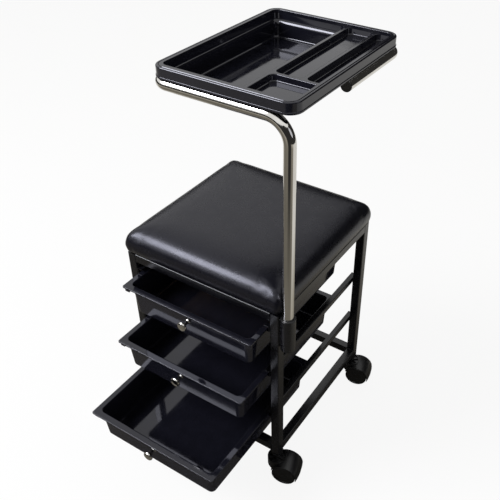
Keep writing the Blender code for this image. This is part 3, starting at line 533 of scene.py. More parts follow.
def end_tree(tree, source, geometry):
    """Ends a tree with Realize Instances and Set Material."""
    real = add_node(tree, "GeometryNodeRealizeInstances", {"Geometry": geometry})
    coated = add_node(tree, "GeometryNodeSetMaterial", {
        "Geometry": real.outputs["Geometry"], "Material": source["Material"]})
    add_node(tree, "NodeGroupOutput", {"Geometry": coated.outputs["Geometry"]})
    return tree


def sweep(tree, source, path, section):
    """Ends a tree with a section swept along its path, with closed ends."""
    swept = add_node(tree, "GeometryNodeCurveToMesh", {
        "Curve": path, "Profile Curve": section.outputs["Curve"], "Fill Caps": True})
    return end_tree(tree, source, swept.outputs["Mesh"])


def grown_from(name, tree, points, slot, values, edges=None, bends=None):
    """Runs a geometry tree on a wire and bakes it; without edges the points are joined in pairs."""
    values = dict(values, Material=finish_for(slot))
    mesh = bpy.data.meshes.new(name)
    mesh.from_pydata(points, edges or [(i, i + 1) for i in range(0, len(points), 2)], [])
    if bends:
        layer = mesh.attributes.new("bend", 'FLOAT', 'POINT')
        for item, number in zip(layer.data, bends):
            item.value = number
    piece = linked(name, mesh)
    step = piece.modifiers.new(tree.name, 'NODES')
    step.node_group = tree
    for item in tree.interface.items_tree:
        if item.in_out == 'INPUT' and item.name in values:
            step[item.identifier] = values[item.name]
    return soften(baked(piece))


def square_tube_tree():
    """Sweeps a square section with rounded corners along every edge of a wire."""
    tree, source, path = new_tree("square_tube", (
        ("Width", 'NodeSocketFloat', 0.018),
        ("Corner Radius", 'NodeSocketFloat', 0.002),
        ("Corner Steps", 'NodeSocketInt', 5)))
    square = add_node(tree, "GeometryNodeCurvePrimitiveQuadrilateral", {
        "Width": source["Width"], "Height": source["Width"]})
    section = add_node(tree, "GeometryNodeFilletCurve", {
        "Curve": square.outputs["Curve"], "Count": source["Corner Steps"],
        "Radius": source["Corner Radius"], "Limit Radius": True}, mode='POLY')
    return sweep(tree, source, path, section)


def bent_tube_tree():
    """Rounds a wire's corners by its point list "bend" and sweeps a round section along it."""
    tree, source, path = new_tree("bent_tube", (
        ("Radius", 'NodeSocketFloat', 0.0095),
        ("Sides", 'NodeSocketInt', 40),
        ("Bend Steps", 'NodeSocketInt', 18)))
    bends = add_node(tree, "GeometryNodeInputNamedAttribute", {"Name": "bend"}, data_type='FLOAT')
    route = add_node(tree, "GeometryNodeFilletCurve", {
        "Curve": path, "Count": source["Bend Steps"],
        "Radius": bends.outputs["Attribute"], "Limit Radius": True}, mode='POLY')
    section = add_node(tree, "GeometryNodeCurvePrimitiveCircle", {
        "Resolution": source["Sides"], "Radius": source["Radius"]})
    return sweep(tree, source, route.outputs["Curve"], section)


def weld_bead_tree():
    """Lays overlapping drops of weld metal along every edge of a wire."""
    tree, source, path = new_tree("weld_bead", (
        ("Drop Radius", 'NodeSocketFloat', 0.0013),
        ("Drop Spacing", 'NodeSocketFloat', 0.0011),
        ("Seed", 'NodeSocketInt', 7)))
    spots = add_node(tree, "GeometryNodeResampleCurve", {
        "Curve": path, "Length": source["Drop Spacing"]}, mode='LENGTH')
    drop = add_node(tree, "GeometryNodeMeshUVSphere", {
        "Segments": 8, "Rings": 5, "Radius": source["Drop Radius"]})
    vary = add_node(tree, "FunctionNodeRandomValue", {
        2: 0.85, 3: 1.1, "Seed": source["Seed"]}, data_type='FLOAT')
    drops = add_node(tree, "GeometryNodeInstanceOnPoints", {
        "Points": spots.outputs["Curve"], "Instance": drop.outputs["Mesh"], "Scale": vary.outputs[1]})
    return end_tree(tree, source, drops.outputs["Instances"])


# Sizes and colours that a user would change

def length(title, description, value, least):
    """A length in the panel."""
    return bpy.props.FloatProperty(
        name=title, description=description, default=value, min=least, unit='LENGTH', precision=4)


class TrolleySizes(bpy.types.PropertyGroup):
    """Rounds and small details of the trolley's pieces."""
    tube_corner: length("Tube corner", "Outer corner radius of the square tube", 0.0022, 0.0005)
    weld_drop: length("Weld drop", "Radius of one drop in a weld bead", 0.0012, 0.0004)
    drawer_corner: length("Drawer corner", "Plan radius of a drawer body's upright corners", 0.0105, 0.002)
    drawer_mouth: length("Drawer mouth round", "Round from a drawer's rim into its mouth", 0.0026, 0.0005)
    cushion_swell: length("Cushion swell", "Most that a point of the seat pad moves as it fills", 0.006, 0.0)
    tray_corner: length("Tray corner", "Plan radius of the tray's outer corners", 0.021, 0.005)
    tube_bend: length("Tube bend", "Bend radius from the tray tube's upright into its loop", 0.038, 0.012)
    loop_bend: length("Loop bend", "Bend radius of the tube's loop under the tray", 0.021, 0.012)


class TrolleyStage(bpy.types.PropertyGroup):
    """Floor, backdrop and lamps."""
    floor_colour: bpy.props.FloatVectorProperty(
        name="Floor", description="Colour of the studio floor and backdrop",
        subtype='COLOR', size=4, min=0.0, max=1.0, default=linear("#e6e4de"))
    key_power: bpy.props.FloatProperty(
        name="Key lamp", description="Power of the large softbox over the front left",
        default=88.0, min=0.0, unit='POWER')
    fill_power: bpy.props.FloatProperty(
        name="Fill lamp", description="Power of the softbox at the right",
        default=3.0, min=0.0, unit='POWER')


class BuildStep:
    """What the steps share: each builds from the panel's sizes."""

    def execute(self, context):
        self.build(context.scene.trolley_sizes)
        return {'FINISHED'}


# Frame

class TROLLEY_OT_frame_tubes(BuildStep, bpy.types.Operator):
    """Square tube posts and rails, with weld beads in their inner corners"""
    bl_idname = "trolley.frame_tubes"
    bl_label = "Frame tubes"

    def build(self, sizes):
        points = []
        for node in POSTS + RAILS:
            first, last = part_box(node)
            span = last - first
            along = max(range(3), key=lambda axis: span[axis])
            for end in (first, last):
                spot = (first + last) / 2
                spot[along] = end[along]
                points.append(spot)
        tubes = grown_from("frame_tubes", square_tube_tree(), points, "powder_coat", {
            "Width": TUBE, "Corner Radius": sizes.tube_corner, "Corner Steps": 5})
        declare(tubes, "powder_coat", POSTS + RAILS)
        lines = self.weld_lines(sizes.tube_corner)
        beads = grown_from("weld_beads", weld_bead_tree(), lines, "powder_coat", {
            "Drop Radius": sizes.weld_drop, "Drop Spacing": sizes.weld_drop * 0.85, "Seed": 7})
        declare(beads, "powder_coat", (), "frame")

    def weld_lines(self, inset):
        """Pairs of points where a rail's upper or lower face meets a post, and beside the socket."""
        points = []
        for node in RAILS:
            first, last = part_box(node)
            span = last - first
            along = 0 if span.x > span.y else 1
            across = 1 - along
            levels = (first.z, last.z) if node.startswith("lower") else (first.z,)
            for z in levels:
                for end in (first, last):
                    for side, shift in ((first, inset), (last, -inset)):
                        spot = Vector((0, 0, z))
                        spot[along] = end[along]
                        spot[across] = side[across] + shift
                        points.append(spot)
        socket_low, socket_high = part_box("tray_socket")
        x = high("post_front_right").x + 0.0008
        reach = 0.0058
        from_end = 0.004
        for side in (-1, 1):
            for z in (socket_low.z + from_end, socket_high.z - from_end):
                points.append(Vector((x, middle("tray_socket").y + side * reach, z)))
        return points


class TROLLEY_OT_runners(BuildStep, bpy.types.Operator):
    """Rolled channels that carry the drawers' rims"""
    bl_idname = "trolley.runners"
    bl_label = "Drawer runners"

    wall = 0.0012
    edge = 0.0003
    outer = 0.0018
    inner = 0.0007

    def build(self, sizes):
        channels = [self.channel(node) for node in RUNNERS]
        declare(soften(joined("drawer_runners", channels)), "powder_coat", RUNNERS)

    def channel(self, node):
        """One channel, its section rounded corner by corner."""
        first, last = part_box(node)
        lip, web = (last.x, first.x) if node.endswith("left") else (first.x, last.x)
        face = web + (self.wall if lip > web else -self.wall)
        foot, head = first.z + self.wall, last.z - self.wall
        corners = [(lip, foot), (lip, first.z), (web, first.z), (web, last.z), (lip, last.z),
                   (lip, head), (face, head), (face, foot)]
        outline = []
        for at, radius in ((1, self.edge), (2, self.outer), (3, self.outer), (4, self.edge),
                           (5, self.edge), (6, self.inner), (7, self.inner), (0, self.edge)):
            after = corners[(at + 1) % len(corners)]
            outline += round_corner(corners[at - 1], corners[at], after, radius, 3)
        rings = [[Vector((x, y, z)) for x, z in outline] for y in (first.y, last.y)]
        return new_object(node + "_channel", loft(rings))


class TROLLEY_OT_socket(BuildStep, bpy.types.Operator):
    """Turned socket on the front right post, with its plastic bush"""
    bl_idname = "trolley.socket"
    bl_label = "Tray socket"

    def build(self, sizes):
        first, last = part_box("tray_socket")
        axis = middle("tray_socket")
        outer = (last.x - first.x) / 2
        bore = outer - 0.002
        floor = 0.003
        tall = last.z - first.z
        profile = rounded_profile(
            [(0, 0), (outer, 0), (outer, tall), (bore, tall), (bore, floor), (0, floor)],
            (0.002, 0.0007, 0.0005, 0.0))
        socket = turned_piece("socket_tube", profile, 48, (axis.x, axis.y, first.z))
        declare(soften(socket), "powder_coat", ("tray_socket",))
        foot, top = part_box("socket_bush")
        rod = ROD_R + GAP
        inner = bore - GAP
        profile = rounded_profile(
            [(rod, foot.z), (inner, foot.z), (inner, last.z + GAP), (outer, last.z + GAP),
             (outer, top.z), (rod, top.z), (rod, foot.z + 0.001)],
            (0.0, 0.0, 0.0, 0.0006, 0.0004), 4)
        bush = turned_piece("socket_liner", profile, 48, (axis.x, axis.y, 0))
        declare(soften(bush), "nylon", ("socket_bush",))


# Drawers

class TROLLEY_OT_drawers(BuildStep, bpy.types.Operator):
    """Moulded drawers with flat rims, stop hooks and rounded wells"""
    bl_idname = "trolley.drawers"
    bl_label = "Drawers"

    wall = 0.002
    draft = 0.0034
    rim_thick = 0.003
    rim_corner = 0.0037
    rim_edge = 0.0008
    ledge_side = 0.0098
    ledge_front = 0.0113
    ledge_rear = 0.0108
    foot_round = 0.005

    def build(self, sizes):
        for level in LEVELS:
            self.drawer(level, sizes.drawer_corner, sizes.drawer_mouth)

    def drawer(self, level, corner, mouth_round):
        """One drawer, from its foot up the outside, over the rim and down to its floor."""
        first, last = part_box("drawer_" + level)
        top = last.z
        bottom = first.z
        inner = corner - self.wall
        rim = (first.x, last.x, first.y, last.y)
        body = (first.x + self.ledge_side, last.x - self.ledge_side,
                first.y + self.ledge_front, last.y - self.ledge_rear)
        foot = grow(body, -self.draft)
        rings = bend(foot, corner, bottom, 1, self.foot_round)
        rings.append(rounded_ring(body, corner, top - self.rim_thick))
        rings += [rounded_ring(rim, self.rim_corner, top - drop) for drop in (self.rim_thick, self.rim_edge)]
        rings += bend(rim, self.rim_corner, top, -1, self.rim_edge, steps=3)[::-1]
        rings += bend(grow(body, -self.wall), inner, top, -1, mouth_round, outward=True)
        rings += bend(grow(foot, -self.wall), inner, bottom + self.wall, 1, self.foot_round)[::-1]
        drawer = new_object("moulded_drawer_" + level, loft(rings))
        for side in (-1, 1):
            boolean(drawer, self.hook(side, rim, top), 'UNION')
        declare(soften(drawer), "moulded_plastic", ("drawer_" + level,))

    def hook(self, side, rim, top):
        """Tab under the rim's front corner that meets the runner's end."""
        inset, width = 0.002, 0.010
        front, back = rim[2] + 0.0045, rim[2] + 0.0072
        drop, sunk = 0.013, 0.0015
        outside = (rim[1] if side > 0 else rim[0]) - side * inset
        inside = outside - side * width
        rect = (min(inside, outside), max(inside, outside), front, back)
        rings = [rounded_ring(rect, 0.0006, z, 3) for z in (top - drop, top - sunk)]
        return new_object("hook", loft(rings))


class TROLLEY_OT_knobs(BuildStep, bpy.types.Operator):
    """Chromed knobs with dished faces, and the screws that hold them"""
    bl_idname = "trolley.knobs"
    bl_label = "Drawer knobs"

    def build(self, sizes):
        for level in LEVELS:
            self.knob("knob_" + level, "chrome_knob_" + level)
            node = "knob_screw_" + level
            centre = middle(node)
            first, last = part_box(node)
            pan_screw("pan_screw_" + level, node, 0.0022, 0.002, last.y - first.y,
                      (centre.x, last.y, centre.z), TO_FRONT)

    def knob(self, node, name):
        """Mushroom knob: foot, waisted neck and dished face."""
        first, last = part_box(node)
        centre = middle(node)
        radius = (last.x - first.x) / 2
        long = last.y - first.y
        foot = 0.005
        neck = 0.0033
        profile = rounded_profile(
            [(0, 0), (foot, 0), (foot, 0.0016), (neck, 0.0034), (neck, long * 0.52),
             (radius * 0.55, long * 0.66), (radius, long * 0.80), (radius, long * 0.90),
             (radius * 0.88, long), (radius * 0.55, long * 0.95), (0, long * 0.94)],
            (0.0004, 0.0006, 0.0015, 0.006, 0.008, 0.0012, 0.0010, 0.0010, 0.003), 6)
        knob = turned_piece(name, profile, 56, (centre.x, last.y, centre.z), TO_FRONT)
        declare(soften(knob), "chrome", (node,))


# Seat

class TROLLEY_OT_seat(BuildStep, bpy.types.Operator):
    """Foam seat pad in vinyl, filled by a cloth simulation, on its plywood board"""
    bl_idname = "trolley.seat"
    bl_label = "Seat"

    def build(self, sizes):
        first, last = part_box("seat_cushion")
        pad = self.start_shape(first, last)
        self.fill(pad, first, sizes.cushion_swell)
        self.smooth_corners(pad, first, last)
        self.fit(pad, first, last)
        self.pleat(pad, first, last)
        board_low, board_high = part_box("seat_board")
        pocket = grow((board_low.x, board_high.x, board_low.y, board_high.y), GAP)
        corner = 0.0125
        below = 0.01
        rings = [rounded_ring(pocket, corner, z, 5) for z in (first.z - below, board_high.z + GAP)]
        boolean(pad, new_object("pocket", loft(rings)), 'DIFFERENCE')
        soften(pad, angle=50)
        declare(pad, "vinyl", ("seat_cushion",))
        finished_copy("ply_board", "seat_board", "plywood", 0.0006)

    def start_shape(self, first, last):
        """Slightly small foam block, rounded over at its top edge and drawn in at its foot."""
        slack = 0.004
        slack_top = 0.003
        rect = (first.x + slack, last.x - slack, first.y + slack, last.y - slack)
        tall = last.z - first.z - slack_top
        corner = 0.010
        rings = []
        for inset, share in ((0.0060, 0.0), (0.0020, 0.10), (0.0, 0.30), (0.0010, 0.50), (0.0040, 0.66),
                             (0.0095, 0.79), (0.0180, 0.88), (0.0320, 0.94), (0.0580, 0.975),
                             (0.1000, 0.993), (0.1400, 1.0)):
            rings.append(rounded_ring(grow(rect, -inset), corner, first.z + tall * share, 6))
        return changed(new_object("seat_pad", loft(rings)), 'REMESH', mode='VOXEL', voxel_size=0.005)

    def fill(self, pad, first, swell):
        """Blows the cover up over the foam, which holds it a little, and over its stapled foot."""
        scene = bpy.context.scene
        frames = 20
        stapled, fade, by_foam = 0.004, 0.010, 0.1
        held = pad.vertex_groups.new(name="held")
        rest = [v.co.copy() for v in pad.data.vertices]
        for vertex in pad.data.vertices:
            foot = 1 - (vertex.co.z - first.z - stapled) / fade
            held.add([vertex.index], min(max(foot, by_foam), 1.0), 'REPLACE')
        cloth = pad.modifiers.new("fill", 'CLOTH')
        for name, value in (
                ("quality", 6), ("mass", 0.3), ("tension_stiffness", 18), ("compression_stiffness", 18),
                ("shear_stiffness", 8), ("bending_stiffness", 0.6), ("use_pressure", True),
                ("uniform_pressure_force", 6.0), ("vertex_group_mass", "held")):
            setattr(cloth.settings, name, value)
        cloth.settings.effector_weights.gravity = 0.0
        cloth.collision_settings.use_collision = False
        cloth.collision_settings.use_self_collision = False
        cloth.point_cache.frame_start = 1
        cloth.point_cache.frame_end = frames
        for moment in range(1, frames + 1):
            scene.frame_set(moment)
        baked(pad)
        for vertex, start in zip(pad.data.vertices, rest):
            move = vertex.co - start
            if move.length > swell:
                vertex.co = start + move.normalized() * swell
        scene.frame_set(1)

    def smooth_corners(self, pad, first, last):
        """Evens out the filled cover at the upper part of its four corners."""
        centre = (first + last) / 2
        half = (last - first) / 2
        reach = 0.075
        corner = pad.vertex_groups.new(name="corner")
        for vertex in pad.data.vertices:
            aside = half.x - abs(vertex.co.x - centre.x), half.y - abs(vertex.co.y - centre.y)
            near = 1 - math.hypot(*aside) / reach
            top = (vertex.co.z - first.z) / (last.z - first.z) - 0.3
            share = max(0.0, min(1.0, 2 * near)) * max(0.0, min(1.0, 3 * top))
            corner.add([vertex.index], share, 'REPLACE')
        changed(pad, 'SMOOTH', factor=0.6, iterations=7, vertex_group="corner")

    def fit(self, pad, first, last):
        """Subdivides the filled pad once and brings it to the seat's outline."""
        changed(pad, 'SUBSURF', levels=1, render_levels=1)
        points = [v.co for v in pad.data.vertices]
        least = Vector([min(p[i] for p in points) for i in range(3)])
        most = Vector([max(p[i] for p in points) for i in range(3)])
        for vertex in pad.data.vertices:
            for axis in range(3):
                share = (vertex.co[axis] - least[axis]) / (most[axis] - least[axis])
                vertex.co[axis] = first[axis] + share * (last[axis] - first[axis])

    def pleat(self, pad, first, last):
        """Gathers the vinyl in small pleats low on each corner."""
        centre = (first + last) / 2
        eighth = math.pi / 4
        hub, clear, deepest = 0.030, 0.012, 0.0022
        for vertex in pad.data.vertices:
            side_x = 1 if vertex.co.x > centre.x else -1
            side_y = 1 if vertex.co.y > centre.y else -1
            hub_x = (last.x if side_x > 0 else first.x) - side_x * hub
            hub_y = (last.y if side_y > 0 else first.y) - side_y * hub
            out_x = (vertex.co.x - hub_x) * side_x
            out_y = (vertex.co.y - hub_y) * side_y
            reach = math.hypot(out_x, out_y)
            if out_x < 0 or out_y < 0 or reach < clear:
                continue
            angle = math.atan2(out_y, out_x)
            share = (vertex.co.z - first.z) / (last.z - first.z)
            near = max(0.0, 1 - abs(angle - eighth) / eighth)
            fade = max(0.0, 1 - share / 0.62) ** 0.8 * min(1.0, share / 0.05)
            fold = abs(math.sin(5.0 * (angle - eighth) + 0.35)) ** 0.6
            depth = deepest * near ** 0.7 * fade * (1 - fold)
            vertex.co.x -= side_x * depth * out_x / reach
            vertex.co.y -= side_y * depth * out_y / reach


# Tray and its tube

class TROLLEY_OT_tray_tube(BuildStep, bpy.types.Operator):
    """Chromed tube from the socket up and round under the tray, with its end plug"""
    bl_idname = "trolley.tray_tube"
    bl_label = "Tray tube"

    def build(self, sizes):
        rod_low, rod_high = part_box("tray_rod")
        axis = middle("rod_cap")
        foot = middle("tray_socket")
        lip = 0.0025
        left = rod_low.x + ROD_R
        back = rod_high.y - ROD_R
        end = low("rod_cap").y + lip
        points = [
            (foot.x, foot.y, rod_low.z),
            (foot.x, foot.y, axis.z),
            (left, foot.y, axis.z),
            (left, back, axis.z),
            (axis.x, back, axis.z),
            (axis.x, end, axis.z)]
        edges = [(i, i + 1) for i in range(len(points) - 1)]
        bends = (0.0, sizes.tube_bend, sizes.loop_bend, sizes.loop_bend, sizes.loop_bend, 0.0)
        tube = grown_from("bent_chrome_tube", bent_tube_tree(), points, "chrome", {
            "Radius": ROD_R, "Sides": 40, "Bend Steps": 18}, edges, bends)
        declare(tube, "chrome", ("tray_rod",))
        wall = 0.0012
        depth = 0.010
        stub = ROD_R - wall - GAP
        profile = rounded_profile(
            [(0, -depth), (stub, -depth), (stub, GAP), (ROD_R, GAP), (ROD_R, lip), (0, lip)],
            (0.001, 0.0, 0.0002, 0.0013))
        plug = turned_piece("tube_end_plug", profile, 40, (axis.x, end, axis.z), TO_FRONT)
        declare(soften(plug), "nylon", ("rod_cap",))


class TROLLEY_OT_tray(BuildStep, bpy.types.Operator):
    """Moulded tool tray: beaded rim, skirt, one deep and three shallow compartments, and its screws"""
    bl_idname = "trolley.tray"
    bl_label = "Tool tray"

    lip = 0.0008
    wall = 0.002
    rim_thick = 0.003
    skirt = 0.018
    inner = 0.011
    deep_round = 0.003
    shallow_round = 0.002
    shallow = 0.015
    divider_drop = 0.005
    half = 0.0035
    band_side = 0.010
    band_front = 0.013
    band_back = 0.009
    pan_draft = 0.002
    over_tube = 0.0018
    beside_tube = 0.0038
    boss = 0.0035

    def build(self, sizes):
        first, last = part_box("tool_tray")
        rod = middle("rod_cap")
        self.top = last.z
        self.knee = rod.z + self.over_tube
        self.floor = first.z + self.wall
        self.pan_floor = self.top - self.shallow
        self.deck = self.top - self.divider_drop
        self.edge = grow((first.x, last.x, first.y, last.y), -self.lip)
        x0, x1, y0, y1 = self.edge
        self.mouth = (x0 + self.band_side, x1 - self.band_side, y0 + self.band_front, y1 - self.band_back)
        self.pan = grow(self.mouth, -self.pan_draft)
        loop_low, loop_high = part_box("tray_rod")
        front = middle("tray_socket").y
        inset = 2 * ROD_R + self.beside_tube
        self.well = (loop_low.x + inset, rod.x + ROD_R - inset, front - ROD_R + inset, loop_high.y - inset)
        tray = new_object("moulded_tray", loft(self.outside(sizes.tray_corner)))
        boolean(tray, self.long_well(), 'UNION')
        screws = [(hand, middle("tray_screw_" + hand)) for hand in ("left", "right")]
        for hand, spot in screws:
            rings = [[Vector((spot.x, spot.y, 0)) + p for p in circle_ring(self.boss, z, 20)]
                     for z in (rod.z + ROD_R + GAP, self.top - self.rim_thick / 2)]
            boolean(tray, new_object("boss", loft(rings)), 'UNION')
        for tool in [self.mouth_tool()] + self.pocket_tools():
            boolean(tray, tool, 'DIFFERENCE')
        declare(soften(tray), "moulded_plastic", ("tool_tray",))
        for hand, spot in screws:
            node = "tray_screw_" + hand
            foot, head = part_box(node)
            place = (spot.x, spot.y, foot.z)
            pan_screw("tray_pan_screw_" + hand, node, 0.002, 0.0017, head.z - foot.z, place)

    def outside(self, corner):
        """Rings from the pan's underside round the skirt and bead to the flat band."""
        edge = self.edge
        round_in = self.inner + self.wall
        under = self.top - self.rim_thick
        foot = self.top - self.skirt
        bead = 0.0045
        dip = 0.0011

        def ring(out, z):
            return rounded_ring(grow(edge, out), corner + out, z)
        rings = bend(grow(self.pan, self.wall), round_in, self.pan_floor - self.wall, 1, self.deep_round)
        rings.append(rounded_ring(grow(self.mouth, self.wall), round_in, under))
        rings += [ring(-self.wall, under), ring(-self.wall, foot)]
        rings += bend(grow(edge, self.lip), corner + self.lip, foot, 1, 0.0004, steps=2)
        rings.append(ring(self.lip, foot + 0.0026))
        rings.append(rounded_ring(grow(edge, self.lip * 0.5), corner, foot + 0.0032))
        rings.append(ring(0.0, foot + 0.0038))
        for step in range(9):
            angle = math.radians(180 * step / 8)
            half = bead / 2
            drop = half * (1 - math.sin(angle)) if angle < math.pi / 2 else (1 - math.sin(angle)) * dip
            rings.append(ring(-half * (1 - math.cos(angle)), self.top - drop))
        inset = bead + 0.0004
        return rings + [ring(-inset, self.top - dip), ring(-inset - 0.0005, self.top - 0.0002)]

    def long_well(self):
        """Walls of the deep compartment below the pan, between the tube's runs."""
        round_in = self.inner + self.wall
        foot = grow(self.pockets(self.well, self.half)[0], self.wall)
        head = grow(self.pockets(self.pan, self.half)[0], self.wall)
        rings = bend(foot, round_in, self.floor - self.wall, 1, self.deep_round)
        rings.append(rounded_ring(foot, round_in, self.knee))
        rings.append(rounded_ring(head, round_in, self.pan_floor))
        return new_object("long_well", loft(rings))

    def mouth_tool(self):
        """Opening above the dividers, with a round at the band."""
        turn = 0.0011
        rings = [rounded_ring(self.mouth, self.inner, self.deck)]
        rings += bend(self.mouth, self.inner, self.top, -1, turn, outward=True, steps=4)[::-1]
        rings.append(rounded_ring(grow(self.mouth, turn), self.inner + turn, self.top + 0.004))
        return new_object("mouth", loft(rings))

    def pockets(self, rect, half):
        """The four compartments' rectangles inside rect, the deep one first."""
        x0, x1, y0, y1 = rect
        main = CENTRE_X + 0.098
        side = CENTRE_X + 0.151
        cross = CENTRE_Y - 0.079
        return (
            (x0, main - half, y0, y1),
            (main + half, side - half, cross + half, y1),
            (side + half, x1, cross + half, y1),
            (main + half, x1, y0, cross - half))

    def pocket_tools(self):
        """One tool for each compartment, rounded at the dividers' tops and at the floor.

        The deep one draws in over the tube by a quarter round.
        """
        lips = 0.0014
        corner = self.inner - self.wall
        skin = grow(self.mouth, 0.00005)
        head = [(skin, self.half - lips, corner + lips, self.deck + 0.003, 0.0)]
        for step in range(5):
            angle = math.radians(90 * step / 4)
            gap = lips * (1 - math.sin(angle))
            head.append((skin, self.half - gap, corner + gap, self.deck - lips * (1 - math.cos(angle)), 0.0))
        deep = []
        for step in range(7):
            angle = math.radians(90 * step / 6)
            rect = tuple(a + (b - a) * math.sin(angle) for a, b in zip(self.pan, self.well))
            z = self.knee + (self.pan_floor - self.knee) * math.cos(angle)
            deep.append((rect, self.half + 0.0005 + 0.00005 * step, corner, z, 0.0))
        tools = []
        for index in range(4):
            if index:
                rect, floor, turn, levels = self.pan, self.pan_floor, self.shallow_round, list(head)
            else:
                rect, floor, turn, levels = self.well, self.floor, self.deep_round, head + deep
            for step in range(6):
                angle = math.radians(90 * step / 5)
                inset = turn * (1 - math.cos(angle))
                z = floor + turn * (1 - math.sin(angle))
                levels.append((rect, self.half + 0.001, corner - inset, z, inset))
            rings = [rounded_ring(grow(self.pockets(rect, width)[index], -inset), radius, z, 7)
                     for rect, width, radius, z, inset in levels]
            tools.append(new_object("pocket_%d" % index, loft(rings)))
        return tools


# Casters

class TROLLEY_OT_casters(BuildStep, bpy.types.Operator):
    """Twin-wheel casters: hood, wheels, stem, axle and the plug in the post"""
    bl_idname = "trolley.casters"
    bl_label = "Casters"

    def build(self, sizes):
        for corner in CORNERS:
            for node, name, slot, width in (
                    ("stem_insert_", "stem_insert_piece_", "nylon", 0.0004),
                    ("caster_stem_", "turned_stem_piece_", "zinc_steel", 0.0003),
                    ("caster_axle_", "turned_axle_piece_", "zinc_steel", 0.0003)):
                finished_copy(name + corner, node + corner, slot, width)
            self.wheels(corner)
            finished_copy("hood_" + corner, "caster_housing_" + corner, "wheel_plastic", 0.0003, 40)

    def wheels(self, corner):
        """Both dished wheels, in the caster's own frame: stem on Z, wheels trailing along +X."""
        stem = middle("caster_stem_" + corner)
        axle = middle("caster_axle_" + corner)
        trail = math.hypot(axle.x - stem.x, axle.y - stem.y)
        heading = math.atan2(axle.y - stem.y, axle.x - stem.x)
        place = Matrix.Translation((stem.x, stem.y, 0)) @ Matrix.Rotation(heading, 4, 'Z')
        r = axle.z
        near = 0.0055
        wide = 0.0175
        dish = wide - 0.0012
        boss = wide - 0.0006
        profile = rounded_profile(
            [(0, 0.003), (r * 0.80, 0.003), (r * 0.86, 0.0), (r, 0.0), (r, wide), (r * 0.80, wide),
             (r * 0.76, dish), (r * 0.24, dish), (r * 0.20, boss), (0, boss)],
            (0.0, 0.0005, 0.002, 0.0026, 0.0006, 0.0006, 0.0006, 0.0006, 0.0))
        for name in ("outer", "inner"):
            node = "wheel_%s_%s" % (corner, name)
            wheel = new_object("wheel_%s_%s_disc" % (corner, name), turned(profile, 56))
            out = 1 if (place.inverted() @ middle(node)).y > 0 else -1
            shift = Matrix.Translation((trail, out * near, r))
            wheel.data.transform(place @ shift @ Matrix.Rotation(-out * math.pi / 2, 4, 'X'))
            declare(soften(wheel), "wheel_plastic", (node,))


# Stage

def lit_and_seen(tree, lit, seen, share=1.0):
    """A shader that lights as one, and shows a share of the other to the camera and in mirrors and glass."""
    rays = add_node(tree, "ShaderNodeLightPath").outputs
    factor = rays["Is Camera Ray"]
    for kind in ("Is Glossy Ray", "Is Transmission Ray"):
        factor = add_node(tree, "ShaderNodeMath", {0: factor, 1: rays[kind]}, operation='MAXIMUM').outputs[0]
    factor = add_node(tree, "ShaderNodeMath", {0: factor, 1: share}, operation='MULTIPLY').outputs[0]
    return add_node(tree, "ShaderNodeMixShader", {0: factor, 1: lit.outputs[0], 2: seen.outputs[0]})


